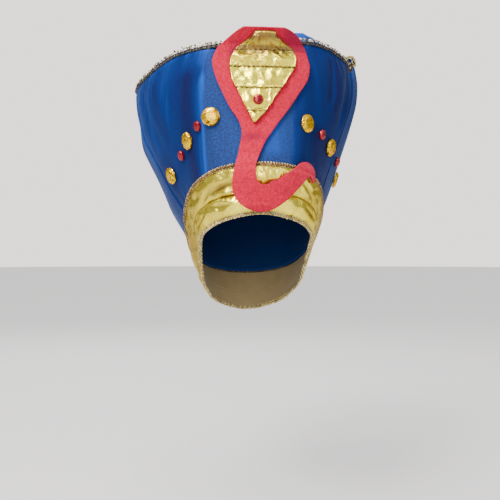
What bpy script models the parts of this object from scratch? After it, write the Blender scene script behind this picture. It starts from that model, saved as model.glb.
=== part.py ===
"""Tall flared pharaoh crown: blue satin walls, padded gold headband and a felt cobra."""
import math
from collections import namedtuple

import bmesh
import bpy
from mathutils import Vector

# Head opening and headband, metres
FACE_RADIUS = 0.097         # centre of the head opening to the face edge at the brow
BROW_HEIGHT = 0.058         # face edge above the origin at the brow
NAPE_DROP = 0.052           # face edge below the origin at the nape
BAND_RADIUS = 0.101         # centre of the head opening to the top of the headband in front
BAND_FRONT_HEIGHT = 0.1055  # top of the headband above the origin in front
BAND_BACK_DROP = 0.008      # top of the headband below the origin at the back

# Rim of the crown
RIM_HALF_WIDTH = 0.128
RIM_HALF_DEPTH = 0.125
RIM_SIDE_SHIFT = -0.0055    # the crown leans a little to one side
RIM_BACK_SHIFT = 0.040
RIM_HEIGHT = 0.2305
RIM_SIDE_RISE = 0.0116      # one side of the rim stands higher than the middle
SHOULDER_DROP = 0.015       # how far the rim falls at the side seams

# Wall
WALL_THICKNESS = 0.003
WALL_BULGE = 0.010
FRONT_BULGE_SHARE = 0.25    # share of the bulge at the front and the back
FACET_DEPTH = 0.004         # flattened front of the wall
FACET_TURN = 27.0           # degrees from the front to each edge of the flattened front
FACET_START = 0.5           # share of the wall's height where the front is at its flattest
FOLD_HEIGHT = 0.004
FOLD_END = 0.6              # share of half a fold's length over which it fades
RIGHT_SEAM_TURN = 63.0
LEFT_SEAM_TURN = -82.0
GAP = 0.0003                # clearance between neighbouring pieces
SEAM_GAP = 0.0006           # between the front and back walls

# Padded rolls and braids
ROLL_RISE = 0.0065
ROLL_SIDE_RISE = 0.0028
ROLL_EDGE = 0.0012
ROLL_INSIDE = 0.0016
ROLL_ROUNDNESS = 0.6
ROLL_SPLIT = 0.57           # share of the headband's width above the seam between the rolls
ROLL_SPLIT_SIDE = 0.50      # the same at the sides
BRAID_STAND_OUT = 0.0006
BAND_BRAID_WIDTH = 0.0052
FACE_BRAID_WIDTH = 0.0046
RIM_BRAID_WIDTH = 0.0062
RIM_BRAID_GAP = 0.0008      # the braid runs straight between columns of the wall
REST_TURN = 2.6             # degrees searched to each side for what the braid rests on
REST_STEPS = 8

# Top panel
PANEL_THICKNESS = 0.0015
PANEL_SAG = 0.016
PANEL_BELOW_RIM = 0.0025
PANEL_CLEARANCE = 0.0008
PANEL_RINGS = (0.05, 0.50, 0.77, 0.88, 0.94, 1.0)
PUCKER_HEIGHT = 0.0024
PUCKER_COUNT = 18
PUCKER_START = 0.4          # share of the way from the middle to the rim
PUCKER_FADE = 0.44
PUCKER_END = 0.12
STANDING_FOLD_TURN = 30.0
STANDING_FOLD_HEIGHT = 0.0222
STANDING_FOLD_SPREAD = 34.0  # degrees to each side
STANDING_FOLD_SHARE = 0.88  # share of the way from the middle to the rim
STANDING_FOLD_WIDTH = 0.10

# Cobra
FELT_THICKNESS = 0.0025
FELT_LIFT = 0.0006
COBRA_HALF_WIDTH = 0.048
COBRA_HEIGHT = 0.190
COBRA_FOOT_HEIGHT = 0.0575
NECK_UP = 0.38              # share of the height where the hood's edges start to level
NECK_BLEND = 0.12
BEND_HEIGHT = 0.226         # the hood bends forward above this height
BEND_LEAN = 38.0            # degrees
BEND_ROUND = 0.010          # height over which the bend starts
PAD_THICKNESS = 0.0028
PAD_PILLOW = 0.0018
PAD_CLEARANCE = 0.0009      # the felt's flat facets reach past its curve

# Stones
GOLD_STONE_WIDTH = 0.0185
GOLD_STONE_HEIGHT = 0.0042
RED_STONE_WIDTH = 0.0112
RED_STONE_HEIGHT = 0.0042
HOOD_STONE_WIDTH = 0.0108
SEAT_RINGS = (0.5, 1.0, 1.25)   # shares of the stone's radius where the wall under it is tested

# Mesh fineness
WALL_STEP = 5.0             # degrees between columns of the wall
WALL_ROWS = 7
LOOP_STATIONS = 48
ROLL_STEPS = 6
COBRA_COLUMNS = 6
COBRA_PIECES = 2
HOOD_COLUMNS = 6
HOOD_PIECES = 3
STONE_SIDES = 10
NORMAL_TURN = 1.5           # steps to each side for the skin's normal, degrees and place
NORMAL_PLACE = 0.02
FRONT_TURN_PASSES = 12
FRONT_TURN_STEP = 10.0      # most degrees moved in one pass
BEND_STEPS = 8

Finish = namedtuple("Finish", "color roughness metallic")
SATIN = Finish((0.010, 0.090, 0.420), 0.32, 0)
LIGHT_SATIN = Finish((0.030, 0.200, 0.620), 0.35, 0)
SILVER_GIMP = Finish((0.600, 0.560, 0.460), 0.40, 0.7)
BRONZE_GIMP = Finish((0.420, 0.290, 0.130), 0.45, 0.7)
GOLD_GIMP = Finish((0.700, 0.580, 0.300), 0.40, 0.7)
GOLD_LAME = Finish((0.780, 0.640, 0.260), 0.30, 0.8)
RED_FELT = Finish((0.740, 0.060, 0.110), 0.95, 0)
AMBER = Finish((0.900, 0.520, 0.040), 0.10, 0)
RUBY = Finish((0.360, 0.004, 0.020), 0.10, 0)

STONE_KINDS = {
    "gold": (GOLD_STONE_WIDTH, GOLD_STONE_HEIGHT, AMBER),
    "red": (RED_STONE_WIDTH, RED_STONE_HEIGHT, RUBY),
}

Section = namedtuple("Section", "turn face_out face_up band_out band_up")
SECTIONS = [
    Section(0, 1.000, 1.000, 1.000, 1.000),
    Section(22, 0.959, 0.945, 0.965, 0.974),
    Section(44, 0.835, 0.836, 0.865, 0.880),
    Section(64, 0.691, 0.709, 0.790, 0.755),
    Section(84, 0.613, 0.527, 0.755, 0.565),
    Section(104, 0.600, 0.345, 0.740, 0.350),
    Section(128, 0.650, 0.218, 0.810, 0.176),
    Section(154, 0.804, 0.082, 0.940, 0.044),
    Section(180, 0.907, 0.000, 1.000, 0.000),
]

RimDrop = namedtuple("RimDrop", "turn drop")
RIM_DROPS = [
    RimDrop(-180, 0.30),
    RimDrop(-125, 0.35),
    RimDrop(-96, 0.85),
    RimDrop(-76, 0.95),
    RimDrop(-60, 0.64),
    RimDrop(-46, 0.14),
    RimDrop(-36, -0.10),
    RimDrop(-22, -0.15),
    RimDrop(10, -0.05),
    RimDrop(30, 0.02),
    RimDrop(41, 0.28),
    RimDrop(50, 0.62),
    RimDrop(57, 0.90),
    RimDrop(62, 1.35),
    RimDrop(67, 0.70),
    RimDrop(74, 0.22),
    RimDrop(90, 0.25),
    RimDrop(180, 0.30),
]

Fold = namedtuple("Fold", "turn spread height low high")
FOLDS = [
    Fold(-27, 4.5, 0.55, -0.1, 1.0),
    Fold(-38, 8.0, -0.45, 0.1, 1.0),
    Fold(-49, 4.5, -0.22, 0.5, 1.0),
    Fold(-56, 5.0, 0.22, 0.45, 1.0),
    Fold(-68, 6.0, -0.25, 0.4, 1.0),
    Fold(24, 8.0, 0.35, -0.1, 0.9),
    Fold(43, 5.0, -0.30, 0.5, 1.0),
    Fold(50, 4.5, 0.32, 0.5, 1.0),
    Fold(57, 4.5, -0.40, 0.45, 1.0),
    Fold(76, 7.0, 0.30, 0.4, 1.0),
    Fold(100, 9.0, -0.35, 0.3, 1.0),
    Fold(128, 9.0, 0.35, 0.1, 1.0),
    Fold(152, 10.0, -0.40, 0.2, 1.0),
    Fold(-96, 8.0, 0.30, 0.3, 1.0),
    Fold(-118, 9.0, -0.35, 0.2, 1.0),
    Fold(-112, 60, 2.4, 0.0, 0.78),
    Fold(100, 60, 1.2, 0.0, 0.95),
    Fold(-146, 9.0, 0.40, 0.1, 1.0),
]

CobraRow = namedtuple("CobraRow", "across up half")
COBRA = [
    CobraRow(0.060, 1.015, 0.43),
    CobraRow(0.085, 0.997, 0.56),
    CobraRow(0.086, 0.964, 0.71),
    CobraRow(0.050, 0.921, 0.84),
    CobraRow(0.027, 0.890, 0.92),
    CobraRow(0.010, 0.837, 1.00),
    CobraRow(0.018, 0.800, 1.02),
    CobraRow(0.028, 0.727, 0.96),
    CobraRow(-0.006, 0.643, 0.79),
    CobraRow(-0.033, 0.566, 0.62),
    CobraRow(-0.056, 0.487, 0.41),
    CobraRow(-0.152, 0.410, 0.265),
    CobraRow(-0.240, 0.339, 0.218),
    CobraRow(-0.312, 0.273, 0.198),
    CobraRow(-0.342, 0.220, 0.205),
    CobraRow(-0.338, 0.168, 0.230),
    CobraRow(-0.306, 0.122, 0.254),
    CobraRow(-0.229, 0.088, 0.254),
    CobraRow(-0.098, 0.069, 0.254),
    CobraRow(0.056, 0.069, 0.254),
    CobraRow(0.188, 0.088, 0.250),
    CobraRow(0.331, 0.114, 0.238),
    CobraRow(0.469, 0.141, 0.208),
    CobraRow(0.612, 0.174, 0.185),
    CobraRow(0.760, 0.208, 0.158),
    CobraRow(0.885, 0.233, 0.162),
    CobraRow(0.980, 0.235, 0.150),
    CobraRow(1.035, 0.212, 0.088),
    CobraRow(1.045, 0.182, 0.042),
    CobraRow(1.040, 0.166, 0.012),
]
CROOK_ACROSS = 0.031  # share of the cobra's half width
CROOK_UP = 0.186  # share of the cobra's height
CROOK_RADIUS = 0.0076
CROOK_START = 0.3  # how far below level the rounding starts, as a sine
CROOK_BLEND = 0.3

HoodRow = namedtuple("HoodRow", "up left right")
HOOD = [
    HoodRow(1.000, -0.12, 0.26),
    HoodRow(0.972, -0.20, 0.33),
    HoodRow(0.929, -0.36, 0.50),
    HoodRow(0.877, -0.53, 0.68),
    HoodRow(0.833, -0.63, 0.73),
    HoodRow(0.786, -0.66, 0.71),
    HoodRow(0.708, -0.60, 0.52),
    HoodRow(0.615, -0.42, 0.27),
    HoodRow(0.541, -0.29, 0.09),
    HoodRow(0.478, -0.17, -0.13),
]
HOOD_STITCHES = (1.000, 0.877, 0.783, 0.668, 0.541, 0.478)
HOOD_STONE_ACROSS = -0.075
HOOD_STONE_UP = 0.598

Lift = namedtuple("Lift", "place lift")
LIFTS = [
    Lift(-1.05, 0.62),
    Lift(-0.85, 1.00),
    Lift(-0.60, 1.02),
    Lift(-0.30, 1.05),
    Lift(-0.12, 0.98),
    Lift(0.00, 0.70),
    Lift(0.10, 0.12),
    Lift(0.90, 0.10),
    Lift(1.00, 0.40),
]

StoneRing = namedtuple("StoneRing", "out up")
STONE_PROFILE = [
    StoneRing(0, 0),
    StoneRing(0.96, 0),
    StoneRing(1, 0.22),
    StoneRing(0.84, 0.72),
    StoneRing(0.56, 1),
    StoneRing(0, 1),
]

Stone = namedtuple("Stone", "kind side number turn place across")
STONES = [
    Stone("gold", "left", 1, -25.2, 0.430, 1.00),
    Stone("red", "left", 1, -34.6, 0.397, 0.85),
    Stone("gold", "left", 2, -44.4, 0.334, 0.68),
    Stone("red", "left", 2, -53.6, 0.272, 0.75),
    Stone("gold", "left", 3, -72.5, 0.240, 0.90),
    Stone("gold", "right", 1, 27.3, 0.372, 0.97),
    Stone("red", "right", 1, 41.1, 0.347, 0.82),
    Stone("gold", "right", 2, 54.3, 0.322, 0.97),
    Stone("red", "right", 2, 73.0, 0.300, 0.85),
    Stone("gold", "right", 3, 88.0, 0.270, 0.95),
]


def smooth(share):
    """Eases a share from 0 to 1."""
    share = min(1.0, max(0.0, share))
    return share * share * (3 - 2 * share)


def mix(low, high, share):
    return low + (high - low) * share


def section_at(turn, column):
    """Reads a column of SECTIONS at any turn; the headband is the same on both sides."""
    turn = abs((turn + 180) % 360 - 180)
    last = len(SECTIONS) - 1
    index = 0
    while index < last - 1 and turn > SECTIONS[index + 1].turn:
        index += 1

    def row(number):
        if number < 0:
            return -SECTIONS[-number].turn, getattr(SECTIONS[-number], column)
        if number > last:
            mirrored = SECTIONS[2 * last - number]
            return 360 - mirrored.turn, getattr(mirrored, column)
        return SECTIONS[number].turn, getattr(SECTIONS[number], column)

    return curve_between([row(index + step) for step in (-1, 0, 1, 2)], turn)


def curve_between(rows, turn):
    """Smooth curve through four rows of turn and value, read between the middle two."""
    (t0, y0), (t1, y1), (t2, y2), (t3, y3) = rows
    start_slope = (y2 - y0) / (t2 - t0) * (t2 - t1)
    end_slope = (y3 - y1) / (t3 - t1) * (t2 - t1)
    share = (turn - t1) / (t2 - t1)
    square = share * share
    cube = square * share
    return ((2 * cube - 3 * square + 1) * y1 + (cube - 2 * square + share) * start_slope
            + (3 * square - 2 * cube) * y2 + (cube - square) * end_slope)


def rim_drop_at(turn):
    """How far the shoulders and the notch lower the rim, as a share of SHOULDER_DROP."""
    turn = (turn + 180) % 360 - 180
    last = len(RIM_DROPS) - 1
    index = 0
    while index < last - 1 and turn > RIM_DROPS[index + 1].turn:
        index += 1
    return curve_between([RIM_DROPS[min(last, max(0, index + step))] for step in (-1, 0, 1, 2)], turn)


def roll_rise(turn):
    """How far the padding stands out: full at the front and back, less at the sides."""
    return mix(ROLL_RISE, ROLL_SIDE_RISE, math.sin(math.radians(turn)) ** 4)


def outward(turn):
    """Level direction away from the axis."""
    angle = math.radians(turn)
    return Vector((math.sin(angle), -math.cos(angle), 0))


def face_point(turn):
    """Point of the face edge."""
    up = mix(-NAPE_DROP, BROW_HEIGHT, section_at(turn, "face_up"))
    return outward(turn) * FACE_RADIUS * section_at(turn, "face_out") + Vector((0, 0, up))


def band_point(turn):
    """Point of the line where the headband meets the wall."""
    up = mix(-BAND_BACK_DROP, BAND_FRONT_HEIGHT, section_at(turn, "band_up"))
    return outward(turn) * BAND_RADIUS * section_at(turn, "band_out") + Vector((0, 0, up))


def rim_point(turn):
    """Point of the top edge of the wall."""
    angle = math.radians(turn)
    up = RIM_HEIGHT + RIM_SIDE_RISE * math.sin(angle) - SHOULDER_DROP * rim_drop_at(turn)
    across = RIM_SIDE_SHIFT + RIM_HALF_WIDTH * math.sin(angle)
    return Vector((across, RIM_BACK_SHIFT - RIM_HALF_DEPTH * math.cos(angle), up))


def fold_offset(turn, share):
    """How far folds, the flattened front and the bulge push the wall outwards."""
    side = math.sin(math.radians(turn)) ** 2
    out = WALL_BULGE * mix(FRONT_BULGE_SHARE, 1, side) * math.sin(math.pi * min(1, max(0, share)) ** 2)
    if abs(turn) < FACET_TURN:
        out -= FACET_DEPTH * smooth(share / FACET_START) * math.cos(math.pi / 2 * turn / FACET_TURN) ** 2
    for fold in FOLDS:
        away = abs((turn - fold.turn + 180) % 360 - 180) / fold.spread
        if away >= 1 or not fold.low < share < fold.high:
            continue
        middle = (fold.low + fold.high) / 2
        along = 1 - abs(share - middle) / (fold.high - middle)
        out += FOLD_HEIGHT * fold.height * smooth(1 - away) * smooth(along / FOLD_END)
    return out


def skin(turn, place):
    """Outer skin: place is -1 at the face edge, 0 at the top of the headband and 1 at the rim."""
    base = band_point(turn)
    if place < 0:
        return base.lerp(face_point(turn), -place)
    return base + (rim_point(turn) - base) * place + outward(turn) * fold_offset(turn, place)


def skin_normal(turn, place):
    """Outward normal of the skin, from two short steps on it."""
    around = skin(turn + NORMAL_TURN, place) - skin(turn - NORMAL_TURN, place)
    if place < 0:
        along = band_point(turn) - face_point(turn)
    else:
        high, low = min(1.0, place + NORMAL_PLACE), max(0.0, place - NORMAL_PLACE)
        along = skin(turn, high) - skin(turn, low)
    return around.cross(along).normalized()


def margin_beside(loop, turn, direction, distance):
    """Length along a direction that leaves this clear distance beside a loop."""
    around = (loop(turn + NORMAL_TURN) - loop(turn - NORMAL_TURN)).normalized()
    return distance / around.cross(direction.normalized()).length


def wall_turns(start, stop):
    """Evenly spaced turns from one seam to the other."""
    count = max(4, round((stop - start) / WALL_STEP))
    return [mix(start, stop, index / count) for index in range(count + 1)]


def braid_turns():
    """Turns of the wall's columns all the way round, each seam once."""
    front = wall_turns(LEFT_SEAM_TURN, RIGHT_SEAM_TURN)
    back = wall_turns(RIGHT_SEAM_TURN, LEFT_SEAM_TURN + 360)
    return front[:-1] + back[:-1]


def material(name, finish):
    made = bpy.data.materials.new(name)
    made.use_nodes = True
    shader = made.node_tree.nodes["Principled BSDF"]
    shader.inputs["Base Color"].default_value = (*finish.color, 1)
    shader.inputs["Roughness"].default_value = finish.roughness
    shader.inputs["Metallic"].default_value = finish.metallic
    return made


def add_object(name, mesh, finish, collection):
    made = bpy.data.objects.new(name, mesh)
    made.data.materials.append(finish)
    collection.objects.link(made)
    return made


def disc_mesh(name, rings):
    """Open disc through rings of points, the first of them filled."""
    shape = bmesh.new()
    lines = [[shape.verts.new(point) for point in ring] for ring in rings]
    shape.faces.new(lines[0])
    for low, high in zip(lines, lines[1:]):
        for index in range(len(low)):
            after = (index + 1) % len(low)
            shape.faces.new((low[after], low[index], high[index], high[after]))
    mesh = bpy.data.meshes.new(name)
    shape.to_mesh(mesh)
    shape.free()
    mesh.shade_smooth()
    return mesh


def ring_mesh(name, sections):
    """Closed ring lofted through closed sections that follow each other round the head."""
    shape = bmesh.new()
    lines = [[shape.verts.new(point) for point in section] for section in sections]
    for index, line in enumerate(lines):
        following = lines[(index + 1) % len(lines)]
        for corner in range(len(line)):
            after = (corner + 1) % len(line)
            shape.faces.new((line[corner], line[after], following[after], following[corner]))
    bmesh.ops.recalc_face_normals(shape, faces=shape.faces)
    mesh = bpy.data.meshes.new(name)
    shape.to_mesh(mesh)
    shape.free()
    mesh.shade_smooth()
    return mesh


def sheet_mesh(name, inner, outer):
    """Closed sheet between two matching grids of points."""
    shape = bmesh.new()
    under = [[shape.verts.new(point) for point in row] for row in inner]
    over = [[shape.verts.new(point) for point in row] for row in outer]
    last_row, last_column = len(inner) - 1, len(inner[0]) - 1
    for row in range(last_row):
        for column in range(last_column):
            for grid in (under, over):
                shape.faces.new((grid[row][column], grid[row][column + 1],
                                 grid[row + 1][column + 1], grid[row + 1][column]))
    around = [(0, column) for column in range(last_column)]
    around += [(row, last_column) for row in range(last_row)]
    around += [(last_row, column) for column in range(last_column, 0, -1)]
    around += [(row, 0) for row in range(last_row, 0, -1)]
    for (row, column), (next_row, next_column) in zip(around, around[1:] + around[:1]):
        shape.faces.new((under[row][column], under[next_row][next_column],
                         over[next_row][next_column], over[row][column]))
    bmesh.ops.recalc_face_normals(shape, faces=shape.faces)
    mesh = bpy.data.meshes.new(name)
    shape.to_mesh(mesh)
    shape.free()
    mesh.shade_smooth()
    return mesh


def wall_panel(name, start, stop, finish, collection):
    """Wall between two seams, from the braid on the headband up to the rim."""
    half_gap = math.degrees(SEAM_GAP / 2 / RIM_HALF_WIDTH)
    turns = wall_turns(start, stop)
    turns[0] += half_gap
    turns[-1] -= half_gap
    inner, outer = [], []
    for row in range(WALL_ROWS + 1):
        inside, outside = [], []
        for turn in turns:
            rise = rim_point(turn) - band_point(turn)
            foot = margin_beside(band_point, turn, rise, BAND_BRAID_WIDTH / 2 + GAP) / rise.length
            place = mix(foot, 1, row / WALL_ROWS)
            point = skin(turn, place)
            outside.append(point)
            inside.append(point - skin_normal(turn, place) * WALL_THICKNESS)
        inner.append(inside)
        outer.append(outside)
    return add_object(name, sheet_mesh(name, inner, outer), finish, collection)


def top_panel(finish, collection):
    """Loose satin just under the rim, sagging, puckered, with one fold that stands up."""
    turns = braid_turns()
    edge = [skin(turn, 1) - skin_normal(turn, 1) * (WALL_THICKNESS + PANEL_CLEARANCE)
            - Vector((0, 0, PANEL_BELOW_RIM)) for turn in turns]
    middle = sum(edge, Vector()) / len(edge)
    middle.z -= PANEL_SAG
    rows = []
    for share in PANEL_RINGS:
        points = []
        for turn, rim in zip(turns, edge):
            point = middle.lerp(rim, share)
            point.z += PANEL_SAG * (1 - share) * share
            fade = smooth((share - PUCKER_START) / PUCKER_FADE) * smooth((1 - share) / PUCKER_END)
            point.z += PUCKER_HEIGHT * fade * math.sin(math.radians(turn) * PUCKER_COUNT)
            away = abs((turn - STANDING_FOLD_TURN + 180) % 360 - 180) / STANDING_FOLD_SPREAD
            ridge = smooth(1 - abs(share - STANDING_FOLD_SHARE) / STANDING_FOLD_WIDTH)
            point.z += STANDING_FOLD_HEIGHT * smooth(1 - away) * ridge
            points.append(point)
        rows.append(points)
    mesh = disc_mesh("top_panel", rows)
    panel = add_object("top_panel", mesh, finish, collection)
    solidify = panel.modifiers.new("cloth", "SOLIDIFY")
    solidify.thickness = PANEL_THICKNESS
    solidify.offset = 1
    return panel


def braid(name, path, width, finish, collection):
    """Round braid along a closed path."""
    curve = bpy.data.curves.new(name, "CURVE")
    curve.dimensions = "3D"
    curve.bevel_depth = width / 2
    curve.bevel_resolution = 2
    curve.use_fill_caps = True
    spline = curve.splines.new("POLY")
    spline.points.add(len(path) - 1)
    for point, place in zip(spline.points, path):
        point.co = (*place, 1)
    spline.use_cyclic_u = True
    return add_object(name, curve, finish, collection)


def rim_middle(turn):
    """Middle of the wall's thickness at the rim."""
    return skin(turn, 1) - skin_normal(turn, 1) * WALL_THICKNESS / 2


def rim_rest(turn):
    """Middle of the round braid that rests on the rim, also where the rim dips."""
    middle = rim_middle(turn)
    reach = RIM_BRAID_WIDTH / 2 + RIM_BRAID_GAP
    height = middle.z
    for step in range(-REST_STEPS, REST_STEPS + 1):
        beside = rim_middle(turn + REST_TURN * step / REST_STEPS)
        level = (beside.xy - middle.xy).length
        if level < reach:
            height = max(height, beside.z + math.sqrt(reach * reach - level * level))
    middle.z = height
    return middle


def band_place(turn, distance):
    """Place on the headband at a distance below its top, with its outward normal."""
    top, edge = band_point(turn), face_point(turn)
    return top + (edge - top).normalized() * distance, skin_normal(turn, -0.5)


def split_share(turn):
    """Share of the headband's width above the seam between the rolls."""
    return mix(ROLL_SPLIT, ROLL_SPLIT_SIDE, math.sin(math.radians(turn)) ** 2)


def split_point(turn):
    """Seam between the two rolls."""
    return band_point(turn).lerp(face_point(turn), split_share(turn))


def band_roll(name, above_seam, finish, collection):
    """Padded roll round the head, above or below the seam between the rolls."""
    sections = []
    for index in range(LOOP_STATIONS):
        turn = 360 * index / LOOP_STATIONS - 180
        across = face_point(turn) - band_point(turn)
        seam = across.length * split_share(turn)
        beside_seam = margin_beside(split_point, turn, across, GAP / 2)
        if above_seam:
            start = margin_beside(band_point, turn, across, BAND_BRAID_WIDTH / 2 + GAP)
            stop = seam - beside_seam
        else:
            start = seam + beside_seam
            stop = across.length - margin_beside(face_point, turn, across, FACE_BRAID_WIDTH / 2 + GAP)
        outer, inner = [], []
        for step in range(ROLL_STEPS + 1):
            share = step / ROLL_STEPS
            place, normal = band_place(turn, mix(start, stop, share))
            round_out = math.sin(math.pi * share) ** ROLL_ROUNDNESS if 0 < share < 1 else 0
            outer.append(place + normal * mix(ROLL_EDGE, roll_rise(turn), round_out))
            if step % 2 == 0:
                inner.append(place - normal * ROLL_INSIDE)
        sections.append(outer + inner[::-1])
    return add_object(name, ring_mesh(name, sections), finish, collection)


def front_turn(across, height):
    """Turn and place on the skin of a point seen from the front at this width and height."""
    turn, place = 0.0, 0.5
    for _ in range(FRONT_TURN_PASSES):
        band, rim, face = band_point(turn), rim_point(turn), face_point(turn)
        if height >= band.z:
            place = (height - band.z) / (rim.z - band.z)
        else:
            place = (height - band.z) / (band.z - face.z)
        here = skin(turn, place).x
        slope = (skin(turn + NORMAL_TURN, place).x - here) / NORMAL_TURN
        turn += max(-FRONT_TURN_STEP, min(FRONT_TURN_STEP, (across - here) / slope))
    return turn, place


def read_lift(place):
    """How far the felt stands off the skin."""
    if place <= LIFTS[0].place:
        return LIFTS[0].lift
    for before, after in zip(LIFTS, LIFTS[1:]):
        if place <= after.place:
            share = (place - before.place) / (after.place - before.place)
            return mix(before.lift, after.lift, smooth(share))
    return LIFTS[-1].lift


def felt_point(across, height, out):
    """Point of the cobra, out metres in front of the felt's back."""
    level = min(height, BEND_HEIGHT)
    turn, place = front_turn(across, level)
    lift = FELT_LIFT + roll_rise(turn) * read_lift(place)
    point = skin(turn, place) + outward(turn) * (lift + out)
    beyond = height - BEND_HEIGHT
    if beyond <= 0:
        return point
    lean = 0.0
    climb = rim_point(turn) - band_point(turn)
    climb = Vector((0, climb.y, climb.z)).normalized()
    for step in range(BEND_STEPS):
        lean = math.radians(BEND_LEAN) * smooth((step + 0.5) / BEND_STEPS * beyond / BEND_ROUND)
        direction = climb * math.cos(lean) + Vector((0, -1, 0)) * math.sin(lean)
        point += direction * beyond / BEND_STEPS
    return point + Vector((0, 0, -1)) * out * math.sin(lean)


def spread_rows(rows, pieces):
    """Smooth curve through the rows of a table, with several steps to each pair of rows."""
    values = [tuple(row) for row in rows]
    ends = [values[0]] + values + [values[-1]]
    smooth_rows = []
    for index in range(len(values) - 1):
        before, start, stop, after = ends[index:index + 4]
        for piece in range(pieces):
            share = piece / pieces
            square, cube = share * share, share ** 3
            smooth_rows.append([0.5 * (2 * b + (c - a) * share + (2 * a - 5 * b + 4 * c - d) * square
                                       + (3 * b - a - 3 * c + d) * cube)
                                for a, b, c, d in zip(before, start, stop, after)])
    smooth_rows.append(list(values[-1]))
    return smooth_rows


def rounded_crook(place):
    """Keeps a point of the felt's inner edge on the round crook between its neck and its tail."""
    middle = Vector((CROOK_ACROSS * COBRA_HALF_WIDTH, COBRA_FOOT_HEIGHT + CROOK_UP * COBRA_HEIGHT))
    away = place - middle
    if away.length <= CROOK_RADIUS:
        return place
    below = smooth((-away.y / away.length - CROOK_START) / CROOK_BLEND)
    return place.lerp(middle + away.normalized() * CROOK_RADIUS, below)


def cobra_felt(finish, collection):
    """Felt ribbon: hood, neck, and a tail that hooks back up."""
    stations = spread_rows(COBRA, COBRA_PIECES)
    inner, outer = [], []
    for index, (across, up, half) in enumerate(stations):
        before, after = stations[max(0, index - 1)], stations[min(len(stations) - 1, index + 1)]
        run = Vector(((after[0] - before[0]) * COBRA_HALF_WIDTH, (after[1] - before[1]) * COBRA_HEIGHT))
        level = smooth((up - NECK_UP) / NECK_BLEND)
        side = Vector((-run.y, run.x)).normalized().lerp(Vector((1, 0)), level).normalized()
        side *= half * COBRA_HALF_WIDTH
        middle = Vector((across * COBRA_HALF_WIDTH, COBRA_FOOT_HEIGHT + up * COBRA_HEIGHT))
        low, high = [], []
        inner_edge = rounded_crook(middle + side)
        for step in range(COBRA_COLUMNS + 1):
            place = (middle - side).lerp(inner_edge, step / COBRA_COLUMNS)
            low.append(felt_point(place.x, place.y, 0))
            high.append(felt_point(place.x, place.y, FELT_THICKNESS))
        inner.append(low)
        outer.append(high)
    return add_object("cobra_felt", sheet_mesh("cobra_felt", inner, outer), finish, collection)


def hood_edges(up):
    """Left and right edge of the quilted hood at a height share."""
    for before, after in zip(HOOD, HOOD[1:]):
        if up >= after.up:
            share = (up - before.up) / (after.up - before.up)
            return mix(before.left, after.left, share), mix(before.right, after.right, share)
    return HOOD[-1].left, HOOD[-1].right


def hood_pad(finish, collection):
    """Quilted pad on the felt, pulled in at its stitch lines."""
    heights = []
    for before, after in zip(HOOD_STITCHES, HOOD_STITCHES[1:]):
        for piece in range(HOOD_PIECES):
            share = piece / HOOD_PIECES
            heights.append((mix(before, after, share), math.sin(math.pi * share)))
    heights.append((HOOD_STITCHES[-1], 0.0))
    inner, outer = [], []
    for up, puff in heights:
        left, right = hood_edges(up)
        low, high = [], []
        for step in range(HOOD_COLUMNS + 1):
            share = step / HOOD_COLUMNS
            across = mix(left, right, share) * COBRA_HALF_WIDTH
            height = COBRA_FOOT_HEIGHT + up * COBRA_HEIGHT
            swell = PAD_PILLOW * puff * math.sin(math.pi * share) ** 0.5 if 0 < share < 1 else 0
            low.append(felt_point(across, height, FELT_THICKNESS + PAD_CLEARANCE))
            high.append(felt_point(across, height, FELT_THICKNESS + PAD_CLEARANCE + PAD_THICKNESS + swell))
        inner.append(low)
        outer.append(high)
    return add_object("cobra_hood", sheet_mesh("cobra_hood", inner, outer), finish, collection)


def stone(name, width, height, seat, normal, finish, collection, across=1.0):
    """Cut stone with a flat back, a girdle, two rings of facets and a table; across makes it an oval."""
    shape = bmesh.new()
    points = [shape.verts.new((row.out * width / 2, 0, row.up * height)) for row in STONE_PROFILE]
    edges = [shape.edges.new(pair) for pair in zip(points, points[1:])]
    bmesh.ops.spin(shape, geom=points + edges, cent=(0, 0, 0), axis=(0, 0, 1),
                   angle=math.tau, steps=STONE_SIDES, use_merge=True)
    bmesh.ops.remove_doubles(shape, verts=shape.verts, dist=1e-6)
    bmesh.ops.scale(shape, verts=shape.verts, vec=(across, 1, 1))
    bmesh.ops.recalc_face_normals(shape, faces=shape.faces)
    mesh = bpy.data.meshes.new(name)
    shape.to_mesh(mesh)
    shape.free()
    made = add_object(name, mesh, finish, collection)
    made.location = seat
    made.rotation_mode = "QUATERNION"
    made.rotation_quaternion = normal.to_track_quat("Z", "Y")
    return made


def hood_stone(finish, collection):
    """Red stone on the front of the quilted hood."""
    across = HOOD_STONE_ACROSS * COBRA_HALF_WIDTH
    height = COBRA_FOOT_HEIGHT + HOOD_STONE_UP * COBRA_HEIGHT
    front = FELT_THICKNESS + PAD_CLEARANCE + PAD_THICKNESS + PAD_PILLOW + GAP
    seat = felt_point(across, height, front)
    normal = (seat - felt_point(across, height, 0)).normalized()
    stone("hood_gem", HOOD_STONE_WIDTH, RED_STONE_HEIGHT, seat, normal, finish, collection)


def wall_seat(turn, place, width):
    """Lowest seat of a flat stone that clears the curved wall under it."""
    middle, normal = skin(turn, place), skin_normal(turn, place)
    reach_turn = math.degrees(width / 2 / RIM_HALF_WIDTH)
    reach_place = width / 2 / (RIM_HEIGHT - BAND_FRONT_HEIGHT)
    highest = 0.0
    for step in range(STONE_SIDES):
        angle = math.tau * step / STONE_SIDES
        for share in SEAT_RINGS:
            around = reach_turn * share * math.cos(angle)
            along = reach_place * share * math.sin(angle)
            under = skin(turn + around, place + along)
            highest = max(highest, (under - middle).dot(normal))
    return middle + normal * (highest + GAP), normal


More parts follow.
